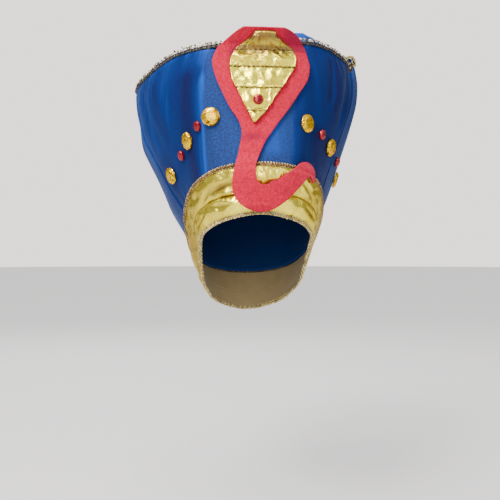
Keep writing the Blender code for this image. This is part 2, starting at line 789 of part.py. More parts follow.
def main():
    for old in list(bpy.data.objects):
        bpy.data.objects.remove(old)
    collection = bpy.data.collections.new("pharaoh_crown")
    bpy.context.scene.collection.children.link(collection)

    front_satin, back_satin = material("front satin", SATIN), material("back satin", SATIN)
    wall_panel("crown_front", LEFT_SEAM_TURN, RIGHT_SEAM_TURN, front_satin, collection)
    wall_panel("crown_back", RIGHT_SEAM_TURN, LEFT_SEAM_TURN + 360, back_satin, collection)
    top_panel(material("top satin", LIGHT_SATIN), collection)

    rim_path = [rim_rest(turn) for turn in braid_turns()]
    braid("rim_braid", rim_path, RIM_BRAID_WIDTH, material("silver gimp", SILVER_GIMP), collection)

    loop_turns = [360 * index / LOOP_STATIONS - 180 for index in range(LOOP_STATIONS)]
    top_path = [band_point(turn) + outward(turn) * BRAID_STAND_OUT for turn in loop_turns]
    braid("band_top_braid", top_path, BAND_BRAID_WIDTH, material("bronze gimp", BRONZE_GIMP), collection)
    face_path = [face_point(turn) for turn in loop_turns]
    braid("face_braid", face_path, FACE_BRAID_WIDTH, material("gold gimp", GOLD_GIMP), collection)

    band_roll("band_upper", True, material("upper lame", GOLD_LAME), collection)
    band_roll("band_lower", False, material("lower lame", GOLD_LAME), collection)

    cobra_felt(material("felt", RED_FELT), collection)
    hood_pad(material("hood lame", GOLD_LAME), collection)

    for row in STONES:
        width, height, finish = STONE_KINDS[row.kind]
        seat, normal = wall_seat(row.turn, row.place, width)
        name = f"{row.kind}_gem_{row.side}_{row.number}"
        stone(name, width, height, seat, normal, material(name, finish), collection, row.across)
    hood_stone(material("hood_gem", RUBY), collection)


main()
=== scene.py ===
"""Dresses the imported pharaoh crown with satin, padded lame, felt, gimp braid and foil stones."""
import math
from collections import namedtuple

import bmesh
import bpy
from bpy.props import FloatProperty, FloatVectorProperty, IntProperty, PointerProperty
from bpy.types import Operator, Panel, PropertyGroup
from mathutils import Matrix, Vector, noise


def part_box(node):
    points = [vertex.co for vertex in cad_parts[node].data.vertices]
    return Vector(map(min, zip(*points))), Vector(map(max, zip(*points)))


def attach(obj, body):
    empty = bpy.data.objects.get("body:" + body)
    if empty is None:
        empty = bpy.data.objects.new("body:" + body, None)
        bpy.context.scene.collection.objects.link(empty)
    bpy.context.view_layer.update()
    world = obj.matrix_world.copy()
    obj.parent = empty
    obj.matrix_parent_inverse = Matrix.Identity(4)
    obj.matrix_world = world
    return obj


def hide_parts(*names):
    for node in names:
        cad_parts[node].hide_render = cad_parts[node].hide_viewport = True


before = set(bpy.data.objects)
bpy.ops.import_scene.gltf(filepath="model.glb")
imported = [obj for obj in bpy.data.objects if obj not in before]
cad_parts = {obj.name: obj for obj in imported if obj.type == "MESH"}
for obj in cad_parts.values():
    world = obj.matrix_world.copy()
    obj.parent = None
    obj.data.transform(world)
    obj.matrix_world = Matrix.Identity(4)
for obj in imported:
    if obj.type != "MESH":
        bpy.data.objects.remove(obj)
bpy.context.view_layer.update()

bl_info = {
    "name": "Pharaoh Crown",
    "version": (1, 0, 0),
    "blender": (4, 5, 0),
    "location": "View3D > Sidebar > Crown",
    "description": "Dresses the packed pharaoh crown with cloth, felt, braid and stones",
    "category": "Object",
}

BODY = "root"


def table(kind, *rows):
    """Rows of a table, with the names of their columns."""
    return [kind(*row) for row in rows]


# Head opening, headband and rim, metres, as in the solids
FACE_RADIUS = 0.097
BROW_HEIGHT = 0.058
NAPE_DROP = 0.052
BAND_RADIUS = 0.101
BAND_FRONT_HEIGHT = 0.1055
BAND_BACK_DROP = 0.008
BAND_MIDDLE = -0.5
RIM_HALF_WIDTH = 0.128
RIM_HALF_DEPTH = 0.125
RIM_SIDE_SHIFT = -0.0055
RIM_BACK_SHIFT = 0.040
RIM_HEIGHT = 0.2305
RIM_SIDE_RISE = 0.0116
SHOULDER_DROP = 0.015
WALL = 0.003
WALL_BULGE = 0.010
FRONT_BULGE_SHARE = 0.25
FACET_DEPTH = 0.004
FACET_TURN = 27.0
FACET_START = 0.5
FOLD_HEIGHT = 0.004
FOLD_END = 0.6
RIGHT_SEAM_TURN = 63.0
LEFT_SEAM_TURN = -82.0
NORMAL_TURN = 0.4
NORMAL_PLACE = 0.006

# Headband section: shares of the radii and heights above, from the brow at 0 to the nape at 180;
# the first and last rows mirror their second neighbours, so that the curve runs on past both ends
Section = namedtuple("Section", "turn face_out face_up band_out band_up")
SECTIONS = table(
    Section,
    (-22, 0.959, 0.945, 0.965, 0.974),
    (0, 1.000, 1.000, 1.000, 1.000),
    (22, 0.959, 0.945, 0.965, 0.974),
    (44, 0.835, 0.836, 0.865, 0.880),
    (64, 0.691, 0.709, 0.790, 0.755),
    (84, 0.613, 0.527, 0.755, 0.565),
    (104, 0.600, 0.345, 0.740, 0.350),
    (128, 0.650, 0.218, 0.810, 0.176),
    (154, 0.804, 0.082, 0.940, 0.044),
    (180, 0.907, 0.000, 1.000, 0.000),
    (206, 0.804, 0.082, 0.940, 0.044))

# How far the shoulders and the notch lower the rim, as a share of SHOULDER_DROP; the end rows stand twice
RimDrop = namedtuple("RimDrop", "turn drop")
RIM_DROPS = table(
    RimDrop,
    (-180, 0.30), (-180, 0.30), (-125, 0.35), (-96, 0.85), (-76, 0.95), (-60, 0.64), (-46, 0.14),
    (-36, -0.10), (-22, -0.15), (10, -0.05), (30, 0.02), (41, 0.28), (50, 0.62), (57, 0.90),
    (62, 1.35), (67, 0.70), (74, 0.22), (90, 0.25), (180, 0.30), (180, 0.30))

# Folds and swellings of the wall: each starts at a low place on it and stops at a high one
Fold = namedtuple("Fold", "turn spread height low high")
FOLDS = table(
    Fold,
    (-27, 4.5, 0.55, -0.1, 1.0),
    (-38, 8.0, -0.45, 0.1, 1.0),
    (-49, 4.5, -0.22, 0.5, 1.0),
    (-56, 5.0, 0.22, 0.45, 1.0),
    (-68, 6.0, -0.25, 0.4, 1.0),
    (24, 8.0, 0.35, -0.1, 0.9),
    (43, 5.0, -0.30, 0.5, 1.0),
    (50, 4.5, 0.32, 0.5, 1.0),
    (57, 4.5, -0.40, 0.45, 1.0),
    (76, 7.0, 0.30, 0.4, 1.0),
    (100, 9.0, -0.35, 0.3, 1.0),
    (128, 9.0, 0.35, 0.1, 1.0),
    (152, 10.0, -0.40, 0.2, 1.0),
    (-96, 8.0, 0.30, 0.3, 1.0),
    (-118, 9.0, -0.35, 0.2, 1.0),
    (-112, 60, 2.4, 0.0, 0.78),
    (100, 60, 1.2, 0.0, 0.95),
    (-146, 9.0, 0.40, 0.1, 1.0))

# Relief of the satin: how many waves go to a degree, their seed and how many go up the wall
Wave = namedtuple("Wave", "around seed along")
GATHERS = Wave(0.42, 3.1, 0.9)
TUCKS = Wave(0.85, 9.7, 1.3)
DRAGS = Wave(0.17, 5.2, 0.55)
SLACK = Wave(0.09, 1.7, 4.0)
GATHER_START = 0.72
GATHER_SPAN = 0.28
GATHER_SHARE = 1.6
TUCK_SHARE = 0.8
RIM_FADE = 0.05
BAND_GATHER_END = 0.16
DRAG_START = 0.15
DRAG_SPAN = 0.7
LOW_DRAG = 0.35
SLACK_SHARE = 0.35
SIDE_CALM = 0.92
SIDE_CALM_POWER = 2.5
CREASE_LOW_TURN = -37.0
CREASE_HIGH_TURN = -22.5
CREASE_WIDTH = 1.6
CREASE_TOP = 1.02
CREASE_FADE = 0.1
SEAM_WIDTH = 1.0

# Painted highlights and painted shade on the satin in long light and dark stretches: turn where it starts low
# down and where it ends high up
Tone = namedtuple("Tone", "low_turn high_turn low high spread tone")
PAINTED_SATIN_LIGHT = table(
    Tone,
    (-37.0, -22.5, -0.10, 0.84, 1.7, 1.00),
    (-41.0, -25.5, -0.10, 0.80, 2.6, 0.35),
    (-49.0, -31.0, -0.20, 0.90, 6.5, -0.90),
    (-38.0, -29.0, 0.84, 1.10, 9.0, 0.15),
    (-60.0, -46.0, 0.45, 1.05, 4.5, 0.05),
    (-66.0, -54.0, 0.35, 0.95, 3.0, -0.55),
    (-90.0, -80.0, 0.30, 1.05, 9.0, 0.20),
    (-75.0, -62.0, -0.30, 0.45, 16.0, -0.40),
    (9.0, 8.0, 0.02, 0.46, 9.0, 1.00),
    (60.0, 60.0, -0.60, 0.10, 18.0, -1.00),
    (28.0, 26.0, 0.30, 1.10, 8.0, -0.20),
    (40.0, 37.0, 0.10, 0.95, 5.0, -0.15),
    (58.0, 44.0, 0.35, 1.10, 6.5, -0.60),
    (48.0, 40.0, 0.55, 1.00, 1.1, -0.80),
    (51.0, 42.5, 0.50, 0.98, 1.0, 0.50),
    (53.5, 45.0, 0.50, 0.97, 1.1, -0.80),
    (58.0, 49.5, 0.45, 0.97, 1.2, -0.80),
    (72.0, 55.0, 0.30, 1.10, 5.0, -0.65),
    (62.0, 60.0, 0.15, 0.70, 7.0, 0.30),
    (70.0, 68.0, 0.86, 1.10, 4.0, 1.00),
    (45.0, 45.0, -0.40, 0.45, 26.0, -0.70),
    (130.0, 118.0, 0.00, 1.10, 6.0, 0.40),
    (160.0, 152.0, 0.10, 1.10, 8.0, -0.50),
    (195.0, 188.0, 0.00, 1.10, 6.0, 0.45),
    (228.0, 222.0, 0.20, 1.10, 8.0, -0.45),
    (252.0, 246.0, 0.00, 1.10, 5.0, 0.40))
TONE_END = 0.12
NAP_SPREAD = 0.95
# Painted light and shade that follow the gathers and drag lines, and a painted highlight band under the rim
GATHER_PAINTED_LIGHT = 0.22
DRAG_PAINTED_LIGHT = 0.30
RIM_GLOW = 0.35
RIM_GLOW_START = 0.95
# Painted reflection on the flat front, greyer and grainier, with less of it under a painted highlight
PATCH_GLOSS = 0.45
PATCH_EDGE = 2.5
PATCH_STOP_TURN = 21
PATCH_STOP_SPAN = 5
PATCH_RIM_FADE = 0.06

# Top panel
PANEL_THICKNESS = 0.0015
PANEL_SAG = 0.016
PANEL_BELOW_RIM = 0.0025
PANEL_CLEARANCE = 0.0008
PANEL_COLUMNS = 300
PANEL_ROWS = 44
STANDING_FOLD_TURN = 30.0
STANDING_FOLD_HEIGHT = 0.0222
STANDING_FOLD_SPREAD = 34.0
STANDING_FOLD_SHARE = 0.88
STANDING_FOLD_WIDTH = 0.10
PUCKERS = 5.5
PUCKER_HEIGHT = 0.0052
FINE_PUCKERS = 14
FINE_PUCKER_HEIGHT = 0.0022
FINE_PUCKER_TONE = 0.5
PUCKER_START = 0.35
PUCKER_SPAN = 0.5
PUCKER_RIM_FADE = 0.06
# PUCKER_TONE and FINE_PUCKER_TONE set the painted highlight on raised puckers and the painted shade in their
# dips
PUCKER_TONE = 1.5
BILLOW_AROUND = 0.05
BILLOW_ALONG = 7
BILLOW_SEED = 2.0
BILLOW_HEIGHT = 0.0010
BILLOW_RIM_FADE = 0.1

# Rolls of the headband: their painted shade is 0 for bright foil and 1 for dark, at their edges, at the
# sides, in crease valleys and inside
ROLL_RISE = 0.0065
ROLL_SIDE_RISE = 0.0028
ROLL_DIP = 0.0008
ROLL_EDGE = 0.0012
ROLL_INSIDE = 0.0016
ROLL_ROUNDNESS = 0.6
ROLL_SPLIT = 0.57
ROLL_SPLIT_SIDE = 0.50
TUCKED_EDGE = 0.0006
SEAM_LAP = 0.0004
INSIDE_FACING = 0.1
INSIDE_PAINTED_SHADE = 0.8
SIDE_PAINTED_SHADE = 0.72
EDGE_PAINTED_SHADE = 0.65
EDGE_SHARE = 0.16
FOLD_DARK = 0.0044
SIDE_PINNED = 0.80
SIDE_WIDTH = 0.064

# Short creases of the padded rolls: share is 0 at the top edge of the roll and 1 at its lower edge
Crease = namedtuple("Crease", "turn share length width depth lean")
CREASES = {
    "band_upper": table(
        Crease,
        (-24, 0.64, 15, 0.11, -0.0042, -0.30),
        (-20, 0.88, 8, 0.10, 0.0030, 0.10),
        (-37, 0.72, 10, 0.12, -0.0018, -0.60),
        (-52, 0.45, 12, 0.14, -0.0016, 0.40),
        (32, 0.62, 11, 0.12, -0.0034, 0.45),
        (41, 0.40, 9, 0.12, -0.0020, -0.50),
        (52, 0.66, 12, 0.14, -0.0022, 0.35)),
    "band_lower": table(
        Crease,
        (-26, 0.38, 12, 0.12, -0.0026, 0.25),
        (-44, 0.55, 10, 0.12, -0.0014, -0.30),
        (34, 0.45, 12, 0.12, -0.0030, 0.30),
        (52, 0.55, 9, 0.12, -0.0014, -0.40)),
}
CREASE_ENDS = 2.2
CREASE_LEANING = 0.5

# Cloth simulation of the padded pieces
SWELL_FRAMES = 20
SWELLING = {
    "quality": 8, "mass": 0.12, "tension_stiffness": 18, "compression_stiffness": 6,
    "shear_stiffness": 5, "bending_stiffness": 0.03, "air_damping": 3, "vertex_group_mass": "sewn",
    "use_pressure": True,
}

# Cobra
FELT = 0.0025
FELT_LIFT = 0.0006
FELT_WAVE = 0.0002
FELT_WAVES = 160
FELT_WAVE_SEED = 4.0
FELT_STEPS = 5
FELT_COLUMNS = 17
FELT_BEVEL = 0.0006
COBRA_HALF_WIDTH = 0.048
COBRA_HEIGHT = 0.190
COBRA_FOOT_HEIGHT = 0.0575
NECK_UP = 0.38
NECK_BLEND = 0.12
BEND_HEIGHT = 0.226
BEND_LEAN = 38.0
BEND_ROUND = 0.010
BEND_STEPS = 8
FRONT_TURN_PASSES = 12
FRONT_TURN_STEP = 10.0
CROOK_ACROSS = 0.031
CROOK_UP = 0.186
CROOK_RADIUS = 0.0076
CROOK_START = 0.3
CROOK_BLEND = 0.3

# Middle and half width of the felt, in COBRA_HALF_WIDTH and COBRA_HEIGHT, from its top to its tail
CobraRow = namedtuple("CobraRow", "across up half")
COBRA = table(
    CobraRow,
    (0.060, 1.015, 0.43), (0.085, 0.997, 0.56), (0.086, 0.964, 0.71), (0.050, 0.921, 0.84),
    (0.027, 0.890, 0.92), (0.010, 0.837, 1.00), (0.018, 0.800, 1.02), (0.028, 0.727, 0.96),
    (-0.006, 0.643, 0.79), (-0.033, 0.566, 0.62), (-0.056, 0.487, 0.41), (-0.152, 0.410, 0.265),
    (-0.240, 0.339, 0.218), (-0.312, 0.273, 0.198), (-0.342, 0.220, 0.205), (-0.338, 0.168, 0.230),
    (-0.306, 0.122, 0.254), (-0.229, 0.088, 0.254), (-0.098, 0.069, 0.254), (0.056, 0.069, 0.254),
    (0.188, 0.088, 0.250), (0.331, 0.114, 0.238), (0.469, 0.141, 0.208), (0.612, 0.174, 0.185),
    (0.760, 0.208, 0.158), (0.885, 0.233, 0.162), (0.980, 0.235, 0.150), (1.035, 0.212, 0.088),
    (1.045, 0.182, 0.042), (1.040, 0.166, 0.012))
# Painted shade on the felt: its creases where it bends, and its right top that is bent forward
FeltCrease = namedtuple("FeltCrease", "across up width height lean dark")
FELT_CREASES = table(
    FeltCrease,
    (-0.57, 0.870, 0.090, 0.055, 1.2, 0.85),
    (-0.20, 0.402, 0.220, 0.022, 0.0, 0.70),
    (0.18, 0.396, 0.160, 0.022, 0.0, 0.55))
FELT_BEND_UP = 0.868
FELT_BEND_SOFT = 0.012
FELT_BEND_ACROSS = 0.30
FELT_BEND_SPREAD = 0.30
FELT_BEND_DARK = 0.75

# How far the felt stands off the skin beside the headband, as a share of the roll's rise
Lift = namedtuple("Lift", "place lift")
LIFTS = table(
    Lift,
    (-1.05, 0.62), (-0.85, 1.10), (-0.60, 1.15), (-0.30, 1.18), (-0.12, 1.06), (0.00, 0.70),
    (0.10, 0.12), (0.90, 0.10), (1.00, 0.40))

# Quilted hood: its edges, and the painted shade in its creases where its top bends forward
HoodRow = namedtuple("HoodRow", "up left right")
HOOD = table(
    HoodRow,
    (1.000, -0.12, 0.26), (0.972, -0.20, 0.33), (0.929, -0.36, 0.50), (0.877, -0.53, 0.68),
    (0.833, -0.63, 0.73), (0.786, -0.66, 0.71), (0.708, -0.60, 0.52), (0.615, -0.42, 0.27),
    (0.541, -0.29, 0.09), (0.478, -0.17, -0.13))
HoodShade = namedtuple("HoodShade", "up worn")
HOOD_SHADES = table(
    HoodShade,
    (1.000, 0.00), (0.992, 0.30), (0.985, 0.92), (0.965, 1.00), (0.950, 0.80), (0.930, 0.55),
    (0.910, 0.62), (0.898, 0.95), (0.880, 1.00), (0.873, 0.65), (0.866, 0.95), (0.856, 0.60),
    (0.845, 0.00))
HOOD_STITCHES = (1.000, 0.877, 0.783, 0.668, 0.541, 0.478)
HOOD_COLUMNS = 41
HOOD_CHANNEL_ROWS = 14
HOOD_PRESSURE = 4.0
HOOD_LOOSENESS = 0.08
PAD_THICKNESS = 0.0028
PAD_SEWN = 0.45
PAD_PILLOW = 0.0018
PAD_PILLOW_SHARE = 0.5
PAD_CLEARANCE = 0.0009
# Painted shade along the stitched rows and at the pad's edges
SEAM_PAINTED_SHADE = 0.9
PAD_EDGE_PAINTED_SHADE = 0.3
STITCH_LENGTH = 0.0030
STITCH_SPACING = 0.0046
STITCH_RADIUS = 0.00045
STITCH_LIFT = 0.0010
STITCH_SIDES = 6
STITCH_MARGIN = 0.03

# Loop of braid that bridges the notch in the rim: above is over RIM_HEIGHT, out is away from the rim
Curl = namedtuple("Curl", "turn above out")
CURL = table(
    Curl,
    (54.5, -0.0020, 0.0000), (56.5, 0.0015, 0.0004), (59.5, 0.0052, 0.0008), (64.0, 0.0073, 0.0014),
    (68.0, 0.0066, 0.0022), (70.5, 0.0036, 0.0026), (69.0, 0.0004, 0.0022), (66.0, -0.0016, 0.0018))
CURL_STEPS = 6
# The wall rises under the loop as a tuck, which gets painted shade as the hollow's shadow
TUCK_TURN = 63.5
TUCK_SPREAD = 7.5
TUCK_EASE = 3.0
TUCK_ABOVE = 0.0060

# Rows of small loops beside each braid: aside is up from the braid's middle and lift is out from it
Edging = namedtuple("Edging", "aside lift loop thread spacing scatter tint")
RIM_EDGINGS = table(
    Edging,
    (0.0038, 0.0005, 0.0011, 0.00048, 0.0042, 0.0009, "bright"),
    (0.0031, 0.0009, 0.0014, 0.00056, 0.0041, 0.0010, "dark"),
    (0.0022, 0.0014, 0.0008, 0.00046, 0.0076, 0.0009, "bright"),
    (0.0048, 0.0003, 0.0005, 0.00056, 0.0061, 0.0012, "bright"),
    (0.0045, 0.0006, 0.0006, 0.00056, 0.0053, 0.0012, "dark"))
BAND_EDGINGS = table(
    Edging,
    (0.0027, 0.0008, 0.00040, 0.00040, 0.0030, 0.0001, "pale"),
    (-0.0027, 0.0008, 0.00040, 0.00040, 0.0030, 0.0001, "pale"))
FACE_EDGINGS = table(
    Edging,
    (0.0020, 0.0009, 0.00045, 0.00042, 0.0034, 0.0003, "pale"),
    (-0.0016, 0.0012, 0.00050, 0.00042, 0.0046, 0.0005, "pale"))
CURL_EDGINGS = table(
    Edging,
    (0.0012, 0.0006, 0.0006, 0.00042, 0.0024, 0.0004, "pale"))
Core = namedtuple("Core", "width strands")
RIM_CORE = Core(0.0046, 4)
BAND_CORE = Core(0.0060, 3)
FACE_CORE = Core(0.0048, 3)
CURL_CORE = Core(0.0028, 3)
RIM_CORE_UP = 0.0006
RIM_CORE_LEAN = 0.25
CORE_DEPTH = 0.22
CORE_STEPS = 10
CORE_SIDES = 6
BRAID_STAND_OUT = 0.0006
FRONT_FACING = 0.8
LOOP_STEPS = 8
LOOP_SIDES = 4
LOOP_TILT = 0.6
LOOP_LEAST = 0.7
LOOP_MOST = 1.15
THREAD_WINDS = 31.0
THREAD_START = 1.2

# Stones
Cut = namedtuple("Cut", "rings sides jitter")
FOIL_CUT = Cut(9, 26, 0.10)
RED_CUT = Cut(4, 16, 0.0)
STONE_HEIGHT = 0.0042
STONE_CLOSING = 0.92
STONE_ROUNDNESS = 0.72
STONE_GIRDLE = 0.22
STONE_FOOT = 0.95
STONE_UNEVEN = 0.3
UNEVEN_SEED = 2.0
WOBBLE_RING = 3.1
WOBBLE_SIDE = 1.7
WOBBLE_SEAT = 40
FACET_MOTTLE = 900

# Camera at the height and distance of the photograph's
CAMERA_DISTANCE = 0.85
CAMERA_TURN = 5.0
CAMERA_HEIGHT = 0.020
CAMERA_ASIDE = -0.0033
CAMERA_LENS = 53.78

# Lights: area lamps by their share of the key light, and the sky's colours from below to above
Light = namedtuple("Light", "name place size share")
LIGHTS = table(
    Light,
    ("key", (-0.70, -1.05, 1.25), 0.45, 0.85),
    ("fill", (1.30, -1.20, 0.70), 1.20, 0.2),
    ("front", (-0.45, -1.70, 0.50), 0.80, 0.25),
    ("back", (-0.30, 1.60, 1.20), 1.00, 0.5))
LIGHT_AIM = Vector((0, 0, 0.12))
CEILING_AIM = Vector((0.30, 0.40, -1.0))
CEILING_SPREAD = 50
Sky = namedtuple("Sky", "height color")
SKY = table(
    Sky,
    (0.30, (0.10, 0.095, 0.09)),
    (0.52, (0.32, 0.31, 0.30)),
    (0.90, (0.80, 0.83, 0.88)))
FLOOR_RADIUS = 14
FLOOR_SIDES = 96


def smooth(share):
    """Eases a share from 0 to 1."""
    share = min(1.0, max(0.0, share))
    return share * share * (3 - 2 * share)


def mix(low, high, share):
    return low + (high - low) * share


def bell(away, width):
    """1 in the middle of a soft ridge, falling off over its width."""
    return math.exp(-(away / width) ** 2)


def sine(turn):
    return math.sin(math.radians(turn))


def cosine(turn):
    return math.cos(math.radians(turn))


def turn_between(turn, other):
    """Signed difference of two turns in degrees."""
    return (turn - other + 180) % 360 - 180


def curve_at(rows, turn, column):
    """Reads a column at any turn on a smooth curve; the table has a spare row at each end."""
    index = 1
    while index < len(rows) - 3 and turn > rows[index + 1].turn:
        index += 1
    (t0, y0), (t1, y1), (t2, y2), (t3, y3) = (
        (row.turn, getattr(row, column)) for row in rows[index - 1:index + 3])
    start_slope = (y2 - y0) / (t2 - t0) * (t2 - t1)
    end_slope = (y3 - y1) / (t3 - t1) * (t2 - t1)
    share = (turn - t1) / (t2 - t1)
    square = share * share
    cube = square * share
    return ((2 * cube - 3 * square + 1) * y1 + (cube - 2 * square + share) * start_slope
            + (3 * square - 2 * cube) * y2 + (cube - square) * end_slope)


def rows_around(rows, value):
    """The two rows that hold a value of the first column between them, and its share of the way."""
    ends = sorted((rows[0][0], rows[-1][0]))
    value = min(ends[1], max(ends[0], value))
    for before, after in zip(rows, rows[1:]):
        if min(before[0], after[0]) <= value <= max(before[0], after[0]):
            return before, after, (value - before[0]) / (after[0] - before[0])


def spread_rows(rows, pieces):
    """Smooth curve through the rows of a table, with several steps to each pair of rows."""
    ends = [rows[0], *rows, rows[-1]]
    spread = []
    for index in range(len(rows) - 1):
        for piece in range(pieces):
            share = piece / pieces
            square, cube = share * share, share ** 3
            spread.append([0.5 * (2 * b + (c - a) * share + (2 * a - 5 * b + 4 * c - d) * square
                                  + (3 * b - a - 3 * c + d) * cube)
                           for a, b, c, d in zip(*ends[index:index + 4])])
    spread.append(list(rows[-1]))
    return spread


def outward(turn):
    """Level direction away from the axis."""
    return Vector((sine(turn), -cosine(turn), 0))


def section_at(turn, column):
    """Reads a column of SECTIONS at any turn; the headband is the same on both sides."""
    return curve_at(SECTIONS, abs(turn_between(turn, 0)), column)


def face_point(turn):
    up = mix(-NAPE_DROP, BROW_HEIGHT, section_at(turn, "face_up"))
    return outward(turn) * FACE_RADIUS * section_at(turn, "face_out") + Vector((0, 0, up))


def band_point(turn):
    up = mix(-BAND_BACK_DROP, BAND_FRONT_HEIGHT, section_at(turn, "band_up"))
    return outward(turn) * BAND_RADIUS * section_at(turn, "band_out") + Vector((0, 0, up))


def rim_point(turn):
    drop = SHOULDER_DROP * curve_at(RIM_DROPS, turn_between(turn, 0), "drop")
    return Vector((RIM_SIDE_SHIFT + RIM_HALF_WIDTH * sine(turn),
                   RIM_BACK_SHIFT - RIM_HALF_DEPTH * cosine(turn),
                   RIM_HEIGHT + RIM_SIDE_RISE * sine(turn) - drop))


def fold_offset(turn, share):
    """How far folds, the flattened front and the bulge push the wall outwards."""
    out = WALL_BULGE * mix(FRONT_BULGE_SHARE, 1, sine(turn) ** 2)
    out *= math.sin(math.pi * min(1, max(0, share)) ** 2)
    if abs(turn) < FACET_TURN:
        out -= FACET_DEPTH * smooth(share / FACET_START) * math.cos(math.pi / 2 * turn / FACET_TURN) ** 2
    for fold in FOLDS:
        away = abs(turn_between(turn, fold.turn)) / fold.spread
        if away >= 1 or not fold.low < share < fold.high:
            continue
        middle = (fold.low + fold.high) / 2
        along = 1 - abs(share - middle) / (fold.high - middle)
        out += FOLD_HEIGHT * fold.height * smooth(1 - away) * smooth(along / FOLD_END)
    return out


def skin(turn, place):
    """Outer skin: place is -1 at the face edge, 0 at the top of the headband and 1 at the rim."""
    base = band_point(turn)
    if place < 0:
        return base.lerp(face_point(turn), -place)
    return base + (rim_point(turn) - base) * place + outward(turn) * fold_offset(turn, place)


def skin_normal(turn, place):
    """Outward normal of the skin, from two short steps on it."""
    around = skin(turn + NORMAL_TURN, place) - skin(turn - NORMAL_TURN, place)
    if place < 0:
        along = band_point(turn) - face_point(turn)
    else:
        along = skin(turn, min(1.0, place + NORMAL_PLACE)) - skin(turn, max(0.0, place - NORMAL_PLACE))
    return around.cross(along).normalized()


def margin_beside(loop, turn, direction, distance):
    """Length along a direction that leaves this clear distance beside a loop."""
    around = (loop(turn + 1) - loop(turn - 1)).normalized()
    return distance / around.cross(direction.normalized()).length


def roll_rise(turn):
    """How far the padding stands out: full at the front and back, less at the sides."""
    return mix(ROLL_RISE, ROLL_SIDE_RISE, sine(turn) ** 4)


def split_share(turn):
    return mix(ROLL_SPLIT, ROLL_SPLIT_SIDE, sine(turn) ** 2)


def split_point(turn):
    return band_point(turn).lerp(face_point(turn), split_share(turn))


def front_turn(across, height):
    """Turn and place on the skin of a point seen from the front at this width and height."""
    turn, place = 0.0, 0.5
    for _ in range(FRONT_TURN_PASSES):
        band, rim, face = band_point(turn), rim_point(turn), face_point(turn)
        span = rim.z - band.z if height >= band.z else band.z - face.z
        place = (height - band.z) / span
        here = skin(turn, place).x
        slope = skin(turn + 1, place).x - here
        turn += max(-FRONT_TURN_STEP, min(FRONT_TURN_STEP, (across - here) / slope))
    return turn, place


def felt_point(across, height, out):
    """Point of the cobra, out metres in front of the felt's back."""
    turn, place = front_turn(across, min(height, BEND_HEIGHT))
    before, after, share = rows_around(LIFTS, place)
    lift = FELT_LIFT + roll_rise(turn) * mix(before.lift, after.lift, smooth(share))
    point = skin(turn, place) + outward(turn) * (lift + out)
    beyond = height - BEND_HEIGHT
    if beyond <= 0:
        return point
    lean = 0.0
    climb = rim_point(turn) - band_point(turn)
    climb = Vector((0, climb.y, climb.z)).normalized()
    for step in range(BEND_STEPS):
        lean = math.radians(BEND_LEAN) * smooth((step + 0.5) / BEND_STEPS * beyond / BEND_ROUND)
        direction = climb * math.cos(lean) + Vector((0, -1, 0)) * math.sin(lean)
        point += direction * beyond / BEND_STEPS
    return point + Vector((0, 0, -1)) * out * math.sin(lean)


def link_object(name, data):
    made = bpy.data.objects.new(name, data)
    bpy.context.scene.collection.objects.link(made)
    return made


def mesh_piece(name, points, faces, spots=None, **attributes):
    """Smooth piece with a cloth UV map from spots, one for each point, and float attributes."""
    mesh = bpy.data.meshes.new(name)
    mesh.from_pydata([tuple(point) for point in points], [], faces)
    if spots:
        layer = mesh.uv_layers.new(name="cloth")
        for loop in mesh.loops:
            layer.data[loop.index].uv = spots[loop.vertex_index]
    for key, values in attributes.items():
        mesh.attributes.new(key, "FLOAT", "POINT").data.foreach_set("value", values)
    mesh.shade_smooth()
    return link_object(name, mesh)


def path_piece(name, path, sides, closed=True):
    """Chain of edges that carries the direction the braid faces."""
    mesh = bpy.data.meshes.new(name)
    count = len(path)
    edges = [(index, (index + 1) % count) for index in range(count if closed else count - 1)]
    mesh.from_pydata([tuple(point) for point in path], edges, [])
    attribute = mesh.attributes.new("side", "FLOAT_VECTOR", "POINT")
    attribute.data.foreach_set("vector", [part for side in sides for part in side])
    return link_object(name, mesh)


def grid_faces(rows, columns, first=0, around=False, flip=False):
    """Quads of a grid of points that is stored row by row."""
    faces = []
    for row in range(rows - 1):
        for column in range(columns if around else columns - 1):
            after = (column + 1) % columns
            low, high = first + row * columns, first + (row + 1) * columns
            quad = (low + column, low + after, high + after, high + column)
            faces.append(quad[::-1] if flip else quad)
    return faces


def sheet_faces(rows, columns):
    """Closed sheet of two grids: the front grid's points come first, then the back grid's."""
    second = rows * columns
    faces = grid_faces(rows, columns) + grid_faces(rows, columns, second, flip=True)
    border = list(range(columns - 1))
    border += [row * columns + columns - 1 for row in range(rows - 1)]
    border += [(rows - 1) * columns + column for column in range(columns - 1, 0, -1)]
    border += [row * columns for row in range(rows - 1, 0, -1)]
    for start, stop in zip(border, border[1:] + border[:1]):
        faces.append((stop, start, second + start, second + stop))
    return faces


def ring_faces(rows, columns):
    """Closed band of two grids that run round: the outer grid's points come first."""
    second = rows * columns
    faces = grid_faces(rows, columns, around=True, flip=True) + grid_faces(rows, columns, second, around=True)
    for low, high in ((0, second), (second - columns, 2 * second - columns)):
        for column in range(columns):
            after = (column + 1) % columns
            quad = (low + column, low + after, high + after, high + column)
            faces.append(quad if low == 0 else quad[::-1])
    return faces


def place_piece(piece, slot, *nodes, finish=None):
    """Gives a piece its material and its place in the frame."""
    if finish:
        piece.data.materials.clear()
        piece.data.materials.append(finish)
    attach(piece, BODY)
    if nodes:
        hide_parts(*nodes)


def applied(piece):
    """Turns a piece with modifiers into a plain mesh."""
    depsgraph = bpy.context.evaluated_depsgraph_get()
    mesh = bpy.data.meshes.new_from_object(piece.evaluated_get(depsgraph), depsgraph=depsgraph)
    mesh.name = name = piece.name
    bpy.data.objects.remove(piece)
    return link_object(name, mesh)


